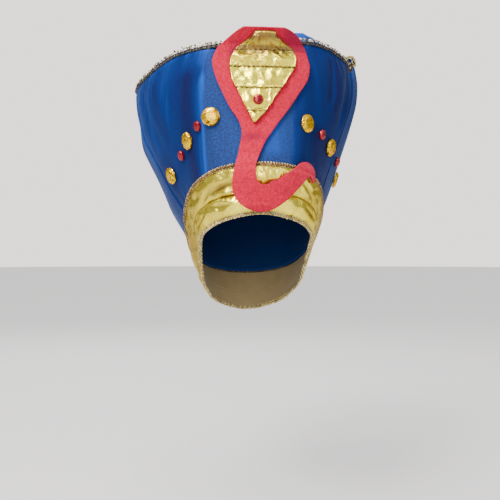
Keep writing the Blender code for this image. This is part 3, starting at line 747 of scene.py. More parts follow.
def shaped(piece, kind, **settings):
    """Runs a modifier on a piece and keeps the plain mesh."""
    modifier = piece.modifiers.new(kind, kind)
    for key, value in settings.items():
        setattr(modifier, key, value)
    return applied(piece)


def joined(name, pieces):
    """Joins several meshes, with their materials, into one object."""
    shape = bmesh.new()
    made = bpy.data.meshes.new(name)
    for piece in pieces:
        first = len(made.materials)
        for material in piece.data.materials:
            made.materials.append(material)
        for face in piece.data.polygons:
            face.material_index += first
        shape.from_mesh(piece.data)
        bpy.data.objects.remove(piece)
    shape.to_mesh(made)
    shape.free()
    made.shade_smooth()
    return link_object(name, made)


def path_length(path):
    return sum((after - before).length for before, after in zip(path, path[1:] + path[:1]))


def swollen(piece, pinned, pressure, looseness, cap):
    """Blows up a cloth that is pinned at some points, and caps how far its points move."""
    start = [vertex.co.copy() for vertex in piece.data.vertices]
    piece.vertex_groups.new(name="sewn").add(pinned, 1.0, "REPLACE")
    cloth = piece.modifiers.new("swell", "CLOTH")
    for key, value in SWELLING.items():
        setattr(cloth.settings, key, value)
    cloth.settings.uniform_pressure_force = pressure
    cloth.settings.shrink_min = -looseness
    cloth.settings.effector_weights.gravity = 0
    cloth.collision_settings.use_collision = False
    cloth.point_cache.frame_start = 1
    cloth.point_cache.frame_end = SWELL_FRAMES
    scene = bpy.context.scene
    for number in range(1, SWELL_FRAMES + 1):
        scene.frame_set(number)
    depsgraph = bpy.context.evaluated_depsgraph_get()
    result = [vertex.co.copy() for vertex in piece.evaluated_get(depsgraph).data.vertices]
    piece.modifiers.remove(cloth)
    scene.frame_set(1)
    moved = []
    for before, after in zip(start, result):
        step = after - before
        if step.length > cap:
            step *= cap / step.length
        moved.append(before + step)
    return moved


class Nodes:
    """Adds linked nodes to a node tree."""

    def __init__(self, tree):
        self.tree = tree

    def fill(self, node, inputs):
        """Gives each input its value, or a link where the value is another node's socket."""
        for key, value in inputs.items():
            if isinstance(value, bpy.types.NodeSocket):
                self.tree.links.new(value, node.inputs[key])
            else:
                node.inputs[key].default_value = value
        return node

    def add(self, kind, inputs=None, **settings):
        node = self.tree.nodes.new(kind)
        for key, value in settings.items():
            setattr(node, key, value)
        return self.fill(node, inputs or {})

    def math(self, operation, *values):
        return self.add("ShaderNodeMath", dict(enumerate(values)), operation=operation).outputs[0]

    def split(self, vector, part):
        """One number of a vector."""
        return self.add("ShaderNodeSeparateXYZ", {0: vector}).outputs[part]


class Finish(Nodes):
    """Builds one procedural material around a Principled shader."""

    def __init__(self, name, **constants):
        self.material = bpy.data.materials.new(name)
        self.material.use_nodes = True
        super().__init__(self.material.node_tree)
        self.wire(**constants)

    def wire(self, **sockets):
        """Fills the shader's inputs and returns the material."""
        self.fill(self.tree.nodes["Principled BSDF"], {
            key.replace("_", " ").title().replace("Ior", "IOR"): value for key, value in sockets.items()})
        return self.material

    def place(self, stretch=(1, 1, 1), uv=False):
        """Coordinates on the object or its cloth map, scaled for each direction."""
        if uv:
            source = self.add("ShaderNodeUVMap", uv_map="cloth").outputs["UV"]
        else:
            source = self.add("ShaderNodeTexCoord").outputs["Object"]
        return self.add("ShaderNodeMapping", {"Vector": source, "Scale": stretch}).outputs["Vector"]

    def noise(self, vector, scale=1.0, detail=3.0):
        return self.add("ShaderNodeTexNoise", {
            "Vector": vector, "Scale": scale, "Detail": detail, "Roughness": 0.55}).outputs["Fac"]

    def cells(self, vector, scale, feature="F1"):
        return self.add("ShaderNodeTexVoronoi", {"Vector": vector, "Scale": scale}, feature=feature)

    def read(self, name):
        return self.add("ShaderNodeAttribute", attribute_name=name).outputs["Fac"]

    def spread(self, value, low, high, to_low=0.0, to_high=1.0):
        """Maps a value from one range to another, clamped."""
        return self.add("ShaderNodeMapRange", {"Value": value, "From Min": low, "From Max": high,
                                               "To Min": to_low, "To Max": to_high}).outputs["Result"]

    def blend(self, share, *colors):
        """Mixes two colours by a share."""
        first, second = (color if isinstance(color, bpy.types.NodeSocket) else (*color, 1)
                         for color in colors)
        return self.add("ShaderNodeMix", {0: share, 6: first, 7: second}, data_type="RGBA").outputs[2]

    def bump(self, height, distance, strength, under=None):
        inputs = {"Height": height, "Distance": distance, "Strength": strength}
        if under:
            inputs["Normal"] = under
        return self.add("ShaderNodeBump", inputs).outputs["Normal"]


def darker(color, share):
    return tuple(part * share for part in color)


def satin_finish(name, color, deep, bright, dull, reverse):
    """Costume satin: painted highlights and painted shade in long streaks, a painted reflection on the flat
    front and painted sparkle of its fine grain of threads.
    """
    made = Finish(name, metallic=0.12, anisotropic=0.25, sheen_weight=0.08, sheen_roughness=0.35,
                  sheen_tint=(0.20, 0.45, 1.0, 1), specular_tint=(0.30, 0.55, 1.0, 1),
                  specular_ior_level=0.05)
    slubs = made.noise(made.place((420, 14, 1), uv=True), detail=4)
    streak = made.noise(made.place((150, 7, 1), uv=True), detail=3)
    grain = made.noise(made.place((620, 520, 1), uv=True), detail=2)
    tone = made.math("ADD", made.read("tone"), made.spread(streak, 0.25, 0.75, -0.16, 0.16))
    tone = made.math("ADD", tone, made.spread(slubs, 0.25, 0.75, -0.12, 0.12))
    # Painted shade towards the deep colour, painted highlight towards the bright colour
    shade = made.blend(made.spread(tone, -1, 0), deep, color)
    shade = made.blend(made.spread(tone, 0, 1), shade, bright)
    # Painted reflection on the flat front
    shade = made.blend(made.math("MULTIPLY", made.read("dull"), 0.85), shade, dull)
    grainy = made.math("MAXIMUM", made.read("dull"), made.spread(made.read("tone"), 0.3, 0.9))
    # Painted sparkle: grain specks turn bright where the painted reflection or highlight lies
    speck = made.math("MULTIPLY", made.spread(grain, 0.42, 0.62), made.spread(grainy, 0, 1, 0.06, 0.42))
    shade = made.blend(speck, shade, bright)
    shade = made.blend(made.read("lining"), shade, reverse)
    rough = made.spread(made.read("dull"), 0, 1, 0.36, 0.62)
    rough = made.math("ADD", rough, made.math("MULTIPLY", made.read("lining"), 0.30))
    normal = made.bump(slubs, 0.00025, 0.30)
    normal = made.bump(grain, 0.00020, 0.35, normal)
    return made.wire(base_color=shade, roughness=rough, normal=normal)


def lame_finish(name, color, shade):
    """Foil-faced stretch cloth: metallic, with hairline crinkles, worn, duller patches and painted shade from
    an attribute.
    """
    made = Finish(name, metallic=0.92, specular_ior_level=0.4, specular_tint=(1.0, 0.84, 0.46, 1))
    place = made.place()
    crinkle = made.noise(place, scale=240, detail=4)
    bend = made.cells(place, 95, "SMOOTH_F1").outputs["Distance"]
    patch = made.noise(place, scale=38, detail=3)
    knit = made.noise(place, scale=1700, detail=1)
    tone = made.blend(made.spread(patch, 0.32, 0.70), color, shade)
    # Painted shade: darkens the lame to a brown made from the shade colour, by the attribute read here
    tone = made.blend(made.read("worn"), tone, (shade[0] * 0.28, shade[1] * 0.22, shade[0] * 0.05))
    rough = made.spread(patch, 0.3, 0.7, 0.20, 0.36)
    normal = made.bump(bend, 0.0080, 0.50)
    normal = made.bump(crinkle, 0.0014, 0.45, normal)
    normal = made.bump(knit, 0.0002, 0.25, normal)
    return made.wire(base_color=tone, roughness=rough, normal=normal)


def woven_finish(name, color):
    """Plain woven cotton, as on the side against the head."""
    made = Finish(name, roughness=0.85, sheen_weight=0.1, specular_ior_level=0.2)
    warp = made.math("SINE", made.split(made.place((3800, 1, 1)), 0))
    weft = made.math("SINE", made.split(made.place((1, 1, 3800)), 2))
    weave = made.math("MULTIPLY", warp, weft)
    cloud = made.noise(made.place(), scale=90, detail=3)
    tone = made.blend(made.spread(weave, -1, 1), darker(color, 0.72), color)
    tone = made.blend(made.spread(cloud, 0.3, 0.7, 0.0, 0.3), tone, darker(color, 0.6))
    return made.wire(base_color=tone, normal=made.bump(weave, 0.0003, 0.4))


def felt_finish(name, color):
    """Pressed felt: matte, mottled, with short fibres in every direction."""
    made = Finish(name, roughness=0.95, sheen_weight=0.15, sheen_roughness=0.6,
                  sheen_tint=(1.0, 0.30, 0.38, 1), specular_ior_level=0.06)
    red, green, blue = color
    place = made.place()
    fibres = made.noise(made.place((2600, 700, 700)), detail=2)
    cross = made.noise(made.place((700, 700, 2600)), detail=2)
    mottle = made.noise(place, scale=420, detail=4)
    cloud = made.noise(place, scale=60, detail=2)
    deep = (red * 0.62, green * 0.45, blue * 0.55)
    pale = (min(1, red * 1.22), green * 1.6 + 0.02, blue * 1.45 + 0.02)
    both = made.math("MAXIMUM", fibres, cross)
    tone = made.blend(made.spread(mottle, 0.35, 0.68), deep, color)
    tone = made.blend(made.spread(both, 0.55, 0.80, 0.0, 0.55), tone, pale)
    tone = made.blend(made.spread(cloud, 0.3, 0.7, 0.0, 0.2), tone, deep)
    # Painted shade: the felt darkens to a deep red where the attribute read here is high
    tone = made.blend(made.read("worn"), tone, (red * 0.34, green * 0.9, blue * 0.8))
    normal = made.bump(mottle, 0.0010, 0.55)
    normal = made.bump(both, 0.0004, 0.60, normal)
    return made.wire(base_color=tone, normal=normal)


def gimp_finish(name, light, dark, glint, metallic):
    """Metallic gimp thread: a foil strip wound round a core, so bright turns alternate with painted shade
    between them, flecked with painted glints.
    """
    made = Finish(name, metallic=metallic, roughness=0.32)
    wound = made.math("SINE", made.math("MULTIPLY_ADD", made.read("run"), THREAD_WINDS, THREAD_START))
    speck = made.noise(made.place(), scale=900, detail=1)
    patch = made.noise(made.place(), scale=160, detail=2)
    tone = made.blend(made.spread(wound, -0.6, 0.7), dark, light)
    tone = made.blend(made.spread(patch, 0.42, 0.62, 0.0, 0.7), tone, dark)
    # Painted glints: fine specks of the glint colour
    tone = made.blend(made.spread(speck, 0.60, 0.72, 0.0, 0.9), tone, glint)
    normal = made.bump(wound, 0.0004, 0.5)
    normal = made.bump(speck, 0.0006, 0.6, normal)
    return made.wire(base_color=tone, normal=normal)


def foil_finish(name, light, mid, dark):
    """Crackled foil under clear resin."""
    made = Finish(name, metallic=0.94, roughness=0.28, coat_weight=0.06, coat_roughness=0.12,
                  specular_tint=(1.0, 0.60, 0.10, 1))
    place = made.place()
    cell = made.cells(place, 560)
    edge = made.cells(place, 560, "DISTANCE_TO_EDGE").outputs["Distance"]
    pick = made.noise(cell.outputs["Position"], scale=900, detail=0)
    tone = made.blend(made.spread(pick, 0.36, 0.62), mid, light)
    tone = made.blend(made.spread(pick, 0.40, 0.28, 0.0, 0.9), tone, dark)
    tone = made.blend(made.spread(edge, 0.0, 0.16, 0.75, 0.0), tone, dark)
    return made.wire(base_color=tone, normal=made.bump(pick, 0.0016, 0.8))


def gem_finish(name, color, glow):
    """Clear coloured acrylic over a foil back: deep, with painted highlights on facets picked at random and
    in fine specks.
    """
    made = Finish(name, metallic=0.60, roughness=0.20, coat_weight=0.25, coat_roughness=0.06)
    speck = made.noise(made.place(), scale=420, detail=1)
    # Painted highlights: facets picked at random, and fine specks, take the glow colour
    tone = made.blend(made.read("facet"), color, glow)
    return made.wire(base_color=made.blend(made.spread(speck, 0.5, 0.75, 0.0, 0.6), tone, glow))


def matte_finish(name, color):
    return Finish(name, base_color=(*color, 1), roughness=0.9).material


class Pattern(Nodes):
    """Geometry node tree that repeats something along a path, with named inputs."""

    def __init__(self, name, inputs):
        super().__init__(bpy.data.node_groups.new(name, "GeometryNodeTree"))
        self.keys = {}
        face = self.tree.interface
        for label, kind in {"Geometry": "Geometry", **inputs, "Material": "Material"}.items():
            socket = face.new_socket(name=label, in_out="INPUT", socket_type="NodeSocket" + kind)
            self.keys[label] = socket.identifier
        face.new_socket(name="Geometry", in_out="OUTPUT", socket_type="NodeSocketGeometry")
        self.given = self.add("NodeGroupInput").outputs

    def vector(self, operation, *values):
        return self.add("ShaderNodeVectorMath", dict(enumerate(values)), operation=operation).outputs[0]

    def scaled(self, vector, scale):
        return self.add("ShaderNodeVectorMath", {0: vector, "Scale": scale}, operation="SCALE").outputs[0]

    def path(self):
        return self.add("GeometryNodeMeshToCurve", {"Mesh": self.given["Geometry"]}).outputs["Curve"]

    def spaced_path(self):
        """The path with one point for each repeat."""
        return self.add("GeometryNodeResampleCurve", {
            "Curve": self.path(), "Length": self.given["Spacing"]}, mode="LENGTH").outputs["Curve"]

    def side(self):
        """Direction that the path faces, from its own attribute."""
        side = self.add("GeometryNodeInputNamedAttribute", {"Name": "side"}, data_type="FLOAT_VECTOR")
        return self.vector("NORMALIZE", side.outputs["Attribute"])

    def tangent(self):
        return self.add("GeometryNodeInputTangent").outputs["Tangent"]

    def moved(self, geometry, offset):
        return self.add("GeometryNodeSetPosition", {
            "Geometry": geometry, "Offset": offset}).outputs["Geometry"]

    def circle(self, radius, steps):
        return self.add("GeometryNodeCurvePrimitiveCircle", {"Resolution": steps, "Radius": radius},
                        mode="RADIUS").outputs["Curve"]

    def tube(self, curve, radius, steps):
        return self.add("GeometryNodeCurveToMesh", {
            "Curve": curve, "Profile Curve": self.circle(radius, steps)}).outputs["Mesh"]

    def placed(self, points, shape, facing, **inputs):
        """Puts a shape on each point, with its own height along a direction."""
        facing = self.add("FunctionNodeAlignRotationToVector", {"Vector": facing}, axis="Z")
        return self.add("GeometryNodeInstanceOnPoints", {
            "Points": points, "Instance": shape, "Rotation": facing.outputs["Rotation"],
            **inputs}).outputs["Instances"]

    def close(self, geometry):
        """Ends the tree in Realize Instances and Set Material."""
        solid = self.add("GeometryNodeRealizeInstances", {"Geometry": geometry}).outputs["Geometry"]
        painted = self.add("GeometryNodeSetMaterial", {"Geometry": solid, "Material": self.given["Material"]})
        self.add("NodeGroupOutput", {"Geometry": painted.outputs["Geometry"]})
        return self

    def grown(self, piece, **values):
        """Runs the tree on a piece and keeps the plain mesh; values are named in small letters."""
        modifier = piece.modifiers.new(self.tree.name, "NODES")
        modifier.node_group = self.tree
        for label, value in values.items():
            modifier[self.keys[label.replace("_", " ").capitalize()]] = value
        return applied(piece)


def plait_pattern():
    """Plaited gimp along a path: strands weave from side to side and over each other."""
    made = Pattern("plaited gimp", {"Strands": "Int", "Plaits": "Int", "Steps": "Int",
                                    "Half width": "Float", "Half depth": "Float", "Thread": "Float"})
    given = made.given
    count = made.math("MULTIPLY", given["Plaits"], given["Steps"])
    curve = made.add("GeometryNodeResampleCurve", {"Curve": made.path(), "Count": count}).outputs["Curve"]
    copies = made.add("GeometryNodeDuplicateElements", {"Geometry": curve, "Amount": given["Strands"]},
                      domain="SPLINE")
    run = made.math("MULTIPLY", made.add("GeometryNodeSplineParameter").outputs["Factor"], given["Plaits"])
    phase = made.math("DIVIDE", copies.outputs["Duplicate Index"], given["Strands"])
    angle = made.math("MULTIPLY", made.math("ADD", run, phase), math.tau)
    side = made.side()
    across = made.vector("NORMALIZE", made.vector("CROSS_PRODUCT", made.tangent(), side))
    swing = made.math("MULTIPLY", made.math("SINE", angle), given["Half width"])
    weave = made.math("SINE", made.math("MULTIPLY", angle, 2.0))
    weave = made.math("MULTIPLY", weave, given["Half depth"])
    offset = made.vector("ADD", made.scaled(across, swing), made.scaled(side, weave))
    moved = made.moved(copies.outputs["Geometry"], offset)
    stored = made.add("GeometryNodeStoreNamedAttribute", {"Geometry": moved, "Name": "run", "Value": run},
                      data_type="FLOAT", domain="POINT")
    return made.close(made.tube(stored.outputs["Geometry"], given["Thread"], CORE_SIDES))


def loop_pattern():
    """Small sparkling loops of thread in rows along a path, each turned a little at random."""
    made = Pattern("picot loops", {"Spacing": "Float", "Loop": "Float", "Thread": "Float", "Lift": "Float",
                                   "Scatter": "Float", "Seed": "Int"})
    given = made.given
    side = made.side()
    wander = made.add("FunctionNodeRandomValue", {0: (-1, -1, -1), 1: (1, 1, 1), "Seed": given["Seed"]},
                      data_type="FLOAT_VECTOR").outputs[0]
    offset = made.vector("ADD", made.scaled(side, given["Lift"]), made.scaled(wander, given["Scatter"]))
    points = made.moved(made.spaced_path(), offset)
    loop = made.tube(made.circle(given["Loop"], LOOP_STEPS), given["Thread"], LOOP_SIDES)
    tilt = made.vector("ADD", side, made.scaled(wander, LOOP_TILT))
    size = made.add("FunctionNodeRandomValue", {2: LOOP_LEAST, 3: LOOP_MOST, "Seed": given["Seed"]},
                    data_type="FLOAT")
    return made.close(made.placed(points, loop, tilt, Scale=size.outputs[1]))


def stitch_pattern():
    """Short straight stitches along a seam."""
    made = Pattern("seam stitches", {"Spacing": "Float", "Length": "Float", "Thread": "Float"})
    stitch = made.add("GeometryNodeMeshCylinder", {
        "Vertices": STITCH_SIDES, "Radius": made.given["Thread"], "Depth": made.given["Length"]})
    return made.close(made.placed(made.spaced_path(), stitch.outputs["Mesh"], made.tangent()))


def tint(name, description, *default):
    """Colour that a user may change."""
    return FloatVectorProperty(
        name=name, description=description, subtype="COLOR", size=3, min=0, max=1, default=default)


def length(name, description, default, low, high, precision=4):
    """Length that a user may change."""
    return FloatProperty(
        name=name, description=description, unit="LENGTH", default=default, min=low, max=high,
        precision=precision)


def colors(settings, *names):
    return [tuple(getattr(settings, name)) for name in names]


class CrownWallSettings(PropertyGroup):
    satin: tint("Satin", "Colour of the satin in even light", 0.0045, 0.0180, 0.1000)
    # Painted shade colour (deep), painted highlight colour (bright) and painted front reflection colour of
    # the satin
    deep: tint("Deep", "Colour of the satin where its nap lies away from the light", 0.0085, 0.0085, 0.0460)
    bright: tint("Bright", "Colour of the satin where its nap catches the light", 0.0100, 0.0640, 0.3300)
    dull: tint("Dull", "Colour of the flat front, where the satin looks greyer", 0.0200, 0.0320, 0.0880)
    reverse: tint("Reverse", "Colour of the duller inner side", 0.006, 0.022, 0.090)
    top_satin: tint("Top satin", "Colour of the loose satin on top", 0.012, 0.085, 0.420)
    # Painted highlight colour of the top satin's raised puckers
    top_painted_highlight: tint("Top bright", "Colour of the top satin's raised puckers", 0.050, 0.220, 0.750)
    gather_height: length("Gathers", "Height of the small gathers under the rim", 0.0007, 0, 0.003)
    drag_height: length("Drag lines", "Height of the long soft drag lines", 0.0006, 0, 0.004)
    crease_height: length(
        "Crease", "Height of the sharp crease at the flat front's left edge", 0.0008, 0, 0.003)
    seam_depth: length("Seam depth", "How deep the side seams pull in", 0.0012, 0, 0.003)
    column_turn: FloatProperty(
        name="Column step", description="Turn between columns of the wall's mesh",
        subtype="ANGLE", default=math.radians(0.65), min=math.radians(0.3), max=math.radians(5))
    rows: IntProperty(
        name="Rows", description="Rows of the wall's mesh", default=72, min=8, max=200)


class CrownBandSettings(PropertyGroup):
    lame: tint("Lame", "Colour of the gold lame where it is bright", 1.000, 0.860, 0.080)
    shade: tint("Lame shade", "Colour of the gold lame's duller patches", 0.640, 0.470, 0.040)
    lining: tint("Band lining", "Colour of the plain cloth against the head", 0.300, 0.220, 0.100)
    stations: IntProperty(
        name="Stations", description="Mesh stations round the head", default=420, min=48, max=900)
    across: IntProperty(
        name="Rows", description="Mesh rows across a roll", default=17, min=7, max=40)
    pressure: FloatProperty(
        name="Pressure", description="Air pressure of the padding in the simulation", default=3.5,
        min=0, max=20)
    looseness: FloatProperty(
        name="Looseness", description="Spare cloth, as a share of its size", subtype="FACTOR",
        default=0.07, min=0, max=0.3)
    cap: length("Swell cap", "Furthest that a point of the cloth may move", 0.0019, 0, 0.01)


class CrownCobraSettings(PropertyGroup):
    felt: tint("Felt", "Colour of the felt", 0.500, 0.0066, 0.035)
    hood: tint("Hood lame", "Colour of the quilted hood where it is bright", 1.000, 0.890, 0.060)
    hood_shade: tint("Hood shade", "Colour of the quilted hood's duller patches", 0.700, 0.520, 0.040)
    hood_thread: tint("Hood thread", "Colour of the stitches across the hood", 0.055, 0.034, 0.012)
    puff: length("Puff cap", "Furthest that the quilting may swell", 0.0020, 0, 0.01)


class CrownBraidSettings(PropertyGroup):
    silver: tint("Silver", "Colour of the small loops on the rim", 0.930, 0.860, 0.640)
    navy: tint("Dark core", "Colour of the plaited core of the rim braid", 0.014, 0.017, 0.030)
    # Painted glint colour of the braids' specks
    glint: tint("Glint", "Colour of the brightest foil specks", 1.0, 0.95, 0.80)
    bronze: tint("Bronze", "Colour of the braid over the headband", 0.420, 0.235, 0.080)
    gold: tint("Pale gold", "Colour of the face braid", 0.900, 0.680, 0.210)
    plait: length("Plait length", "Length of one plait of the braids", 0.0056, 0.002, 0.02)
    thread: length("Thread", "Radius of one wound thread", 0.00085, 0.0003, 0.002, 5)


class CrownStoneSettings(PropertyGroup):
    amber: tint("Amber", "Colour of the large stones", 0.900, 0.400, 0.003)
    amber_light: tint("Amber light", "Colour of the large stones' brightest foil", 1.000, 0.720, 0.006)
    amber_dark: tint("Amber dark", "Colour of the large stones' cracks", 0.150, 0.045, 0.002)
    # Painted highlight colour of the small stones' facets
    ruby_glow: tint("Ruby glow", "Colour of the small stones' lit facets", 0.380, 0.004, 0.014)
    ruby: tint("Ruby", "Colour of the small stones", 0.065, 0.0002, 0.002)


class CrownStageSettings(PropertyGroup):
    floor: tint("Floor", "Colour of the floor", 0.620, 0.595, 0.575)
    floor_drop: length("Floor drop", "Floor below the origin", 0.30, 0.06, 2)
    backdrop: tint("Backdrop", "Colour behind the object", 1.0, 0.930, 0.900)
    backdrop_light: FloatProperty(
        name="Backdrop light", description="Brightness behind the object", default=2.0, min=0, max=5)
    ceiling: FloatProperty(
        name="Ceiling light", description="Strength of the soft light from above", default=3.6, min=0,
        max=20)
    key: FloatProperty(
        name="Key light", description="Power of the main light", unit="POWER", default=45, min=0, max=500)


def nap_turn(turn, place):
    """Turn of the thread through a point: threads hang straight, so they fan out from the headband."""
    signed = turn_between(turn, 0)
    fan = NAP_SPREAD * (1 - place) * cosine(signed / 2) ** 2
    return signed / (1 + fan) + turn - signed


def side_calm(turn):
    """Less relief at the sides, where a slanting look crowds it together."""
    return 1 - SIDE_CALM * abs(sine(turn)) ** SIDE_CALM_POWER


def ripple(wave, turn, place):
    """Random height of a wave, from -1 to 1."""
    return noise.noise(Vector((turn * wave.around, wave.seed, place * wave.along)))


def wall_relief(turn, place, settings):
    """Fine relief of the satin over the foam."""
    under_rim = smooth((1.0 - place) / RIM_FADE)
    near_rim = smooth((place - GATHER_START) / GATHER_SPAN) * under_rim
    near_band = smooth((BAND_GATHER_END - place) / BAND_GATHER_END)
    thread = nap_turn(turn, place)
    tuck = ripple(TUCKS, thread, place)
    relief = settings.gather_height * (ripple(GATHERS, thread, place) * near_rim * GATHER_SHARE
                                       + TUCK_SHARE * tuck * near_rim + tuck * near_band)
    upper = smooth((place - DRAG_START) / DRAG_SPAN) * under_rim
    relief += (settings.drag_height * side_calm(turn) * ripple(DRAGS, thread, place)
               * mix(LOW_DRAG, 1.0, upper))
    relief += settings.drag_height * SLACK_SHARE * ripple(SLACK, turn, place)
    crease = mix(CREASE_LOW_TURN, CREASE_HIGH_TURN, place)
    crease_share = bell(turn - crease, CREASE_WIDTH) * smooth((CREASE_TOP - place) / CREASE_FADE)
    seam = max(bell(turn_between(turn, middle), SEAM_WIDTH)
               for middle in (RIGHT_SEAM_TURN, LEFT_SEAM_TURN))
    return relief + settings.crease_height * crease_share - settings.seam_depth * seam


def painted_wall_light(turn, place):
    """Painted highlight and shade of the satin, from -1 to 1, and its painted front reflection from 0 to 1.
    """
    # Painted highlight band under the rim
    tone = RIM_GLOW * smooth((place - RIM_GLOW_START) / (1 - RIM_GLOW_START))
    for row in PAINTED_SATIN_LIGHT:
        if not row.low < place < row.high:
            continue
        away = turn_between(turn, mix(row.low_turn, row.high_turn, place))
        along = min(place - row.low, row.high - place) / TONE_END
        tone += row.tone * bell(away, row.spread) * smooth(along)
    thread = nap_turn(turn, place)
    # Painted light and shade that follow the gathers and drag lines
    tone += side_calm(turn) * (GATHER_PAINTED_LIGHT * ripple(GATHERS, thread, place)
                               + DRAG_PAINTED_LIGHT * ripple(DRAGS, thread, place))
    # Painted reflection on the flat front, right of the crease, with less of it under painted highlights
    crease = mix(CREASE_LOW_TURN, CREASE_HIGH_TURN, place)
    dull = smooth((turn - crease) / PATCH_EDGE) * smooth((PATCH_STOP_TURN - turn) / PATCH_STOP_SPAN)
    dull *= smooth((1.0 - place) / PATCH_RIM_FADE) * (1 - PATCH_GLOSS * max(0.0, min(1.0, tone)))
    return max(-1.0, min(1.0, tone)), dull


def wall_spot(turn, share, settings):
    """Point on each side of a wall, its place on the cloth, its tone and how dull it is."""
    rise = rim_point(turn) - band_point(turn)
    foot = margin_beside(band_point, turn, rise, TUCKED_EDGE) / rise.length
    place = mix(foot, 1, share)
    point = skin(turn, place)
    normal = skin_normal(turn, place)
    tone, dull = painted_wall_light(turn, place)
    if share == 1:
        tuck = smooth((TUCK_SPREAD - abs(turn_between(turn, TUCK_TURN))) / TUCK_EASE)
        point.z = max(point.z, mix(point.z, RIM_HEIGHT + TUCK_ABOVE, tuck))
        # Painted shade in the hollow under the loop of braid
        tone = mix(tone, -1, tuck)
    spot = (math.radians(nap_turn(turn, place)) * RIM_HALF_DEPTH, place * rise.length)
    return point + normal * wall_relief(turn, place, settings), point - normal * WALL, spot, tone, dull


class CROWN_OT_walls(Operator):
    """Satin walls over stiff foam, front and back"""
    bl_idname = "crown.walls"
    bl_label = "Walls"

    def execute(self, context):
        settings = context.scene.crown_wall
        finish = satin_finish("blue satin", *colors(settings, "satin", "deep", "bright", "dull", "reverse"))
        rows = settings.rows + 1
        for name, start, stop in (("crown_front", LEFT_SEAM_TURN, RIGHT_SEAM_TURN),
                                  ("crown_back", RIGHT_SEAM_TURN, LEFT_SEAM_TURN + 360)):
            columns = round((stop - start) / math.degrees(settings.column_turn)) + 1
            # Each spot's painted light and shade and its painted front reflection go to the satin as
            # attributes
            front, back, spots, tones, dulls = zip(*(
                wall_spot(mix(start, stop, column / (columns - 1)), row / (rows - 1), settings)
                for row in range(rows) for column in range(columns)))
            piece = mesh_piece(name + "_satin", front + back, sheet_faces(rows, columns), spots * 2,
                               tone=tones * 2, dull=dulls * 2, lining=[0.0] * len(front) + [1.0] * len(front))
            place_piece(piece, "blue_satin", name, finish=finish)
        return {"FINISHED"}


def around_noise(turn, count, along):
    """Random height that runs round without a seam."""
    return noise.noise(Vector((cosine(turn) * count, sine(turn) * count, along)))


def panel_relief(turn, share):
    """Puckers towards the rim and the one fold that stands up, and the painted highlight and shade that
    follow how raised the puckers are.
    """
    fade = smooth((share - PUCKER_START) / PUCKER_SPAN) * smooth((1 - share) / PUCKER_RIM_FADE)
    pucker = around_noise(turn, PUCKERS, share)
    fine = around_noise(turn, FINE_PUCKERS, share * 2)
    lift = PUCKER_HEIGHT * pucker * fade + FINE_PUCKER_HEIGHT * fine * fade
    away = abs(turn_between(turn, STANDING_FOLD_TURN)) / STANDING_FOLD_SPREAD
    ridge = smooth(1 - abs(share - STANDING_FOLD_SHARE) / STANDING_FOLD_WIDTH)
    lift += STANDING_FOLD_HEIGHT * smooth(1 - away) * ridge
    billow = noise.noise(Vector((turn * BILLOW_AROUND, share * BILLOW_ALONG, BILLOW_SEED)))
    lift += BILLOW_HEIGHT * billow * smooth((1 - share) / BILLOW_RIM_FADE)
    return lift, max(-1.0, min(1.0, (pucker + FINE_PUCKER_TONE * fine) * fade * PUCKER_TONE))


class CROWN_OT_top_panel(Operator):
    """Loose satin that closes the top just under the rim"""
    bl_idname = "crown.top_panel"
    bl_label = "Top panel"

    def execute(self, context):
        finish = satin_finish("top satin", *colors(
            context.scene.crown_wall, "top_satin", "satin", "top_painted_highlight", "dull", "reverse"))
        turns = [360 * column / PANEL_COLUMNS for column in range(PANEL_COLUMNS)]
        below = Vector((0, 0, PANEL_BELOW_RIM - PANEL_THICKNESS))
        edge = [skin(turn, 1) - skin_normal(turn, 1) * (WALL + PANEL_CLEARANCE) - below for turn in turns]
        middle = sum(edge, Vector()) / len(edge)
        middle.z -= PANEL_SAG
        points, pucker_light_shade = [middle], [0.0]
        for row in range(1, PANEL_ROWS):
            share = row / (PANEL_ROWS - 1)
            for turn, rim in zip(turns, edge):
                point = middle.lerp(rim, share)
                point.z += PANEL_SAG * (1 - share) * share
                # The second value is the painted highlight and shade of the puckers
                lift, ridge = panel_relief(turn, share)
                point.z += lift
                points.append(point)
                pucker_light_shade.append(ridge)
        faces = [(0, 1 + column, 1 + (column + 1) % PANEL_COLUMNS) for column in range(PANEL_COLUMNS)]
        faces += grid_faces(PANEL_ROWS - 1, PANEL_COLUMNS, 1, around=True, flip=True)
        none = [0.0] * len(points)
        piece = mesh_piece("top_satin", points, faces, [(point.x, point.y) for point in points],
                           tone=pucker_light_shade, dull=none, lining=none)
        piece = shaped(piece, "SOLIDIFY", thickness=PANEL_THICKNESS, offset=-1)
        place_piece(piece, "top_satin", "top_panel", finish=finish)
        return {"FINISHED"}


def turned_front(turn):
    """Facing of the headband's braids, which roll a little towards the front at the sides."""
    ahead = math.sqrt(max(0.0, cosine(turn)))
    return (skin_normal(turn, BAND_MIDDLE) + Vector((0, -FRONT_FACING * ahead, 0))).normalized()


def curl_point(turn, above, out):
    """Point of the loop of braid over the notch."""
    point = rim_point(turn) + outward(turn) * out
    point.z = RIM_HEIGHT + above
    return point


def beside_path(path, sides, aside, closed):
    """The path moved aside, across the direction that it faces."""
    count = len(path)
    moved = []
    for index, (point, side) in enumerate(zip(path, sides)):
        after = path[(index + 1) % count] if closed else path[min(index + 1, count - 1)]
        before = path[index - 1] if closed else path[max(index - 1, 0)]
        moved.append(point - (after - before).cross(side).normalized() * aside)
    return moved


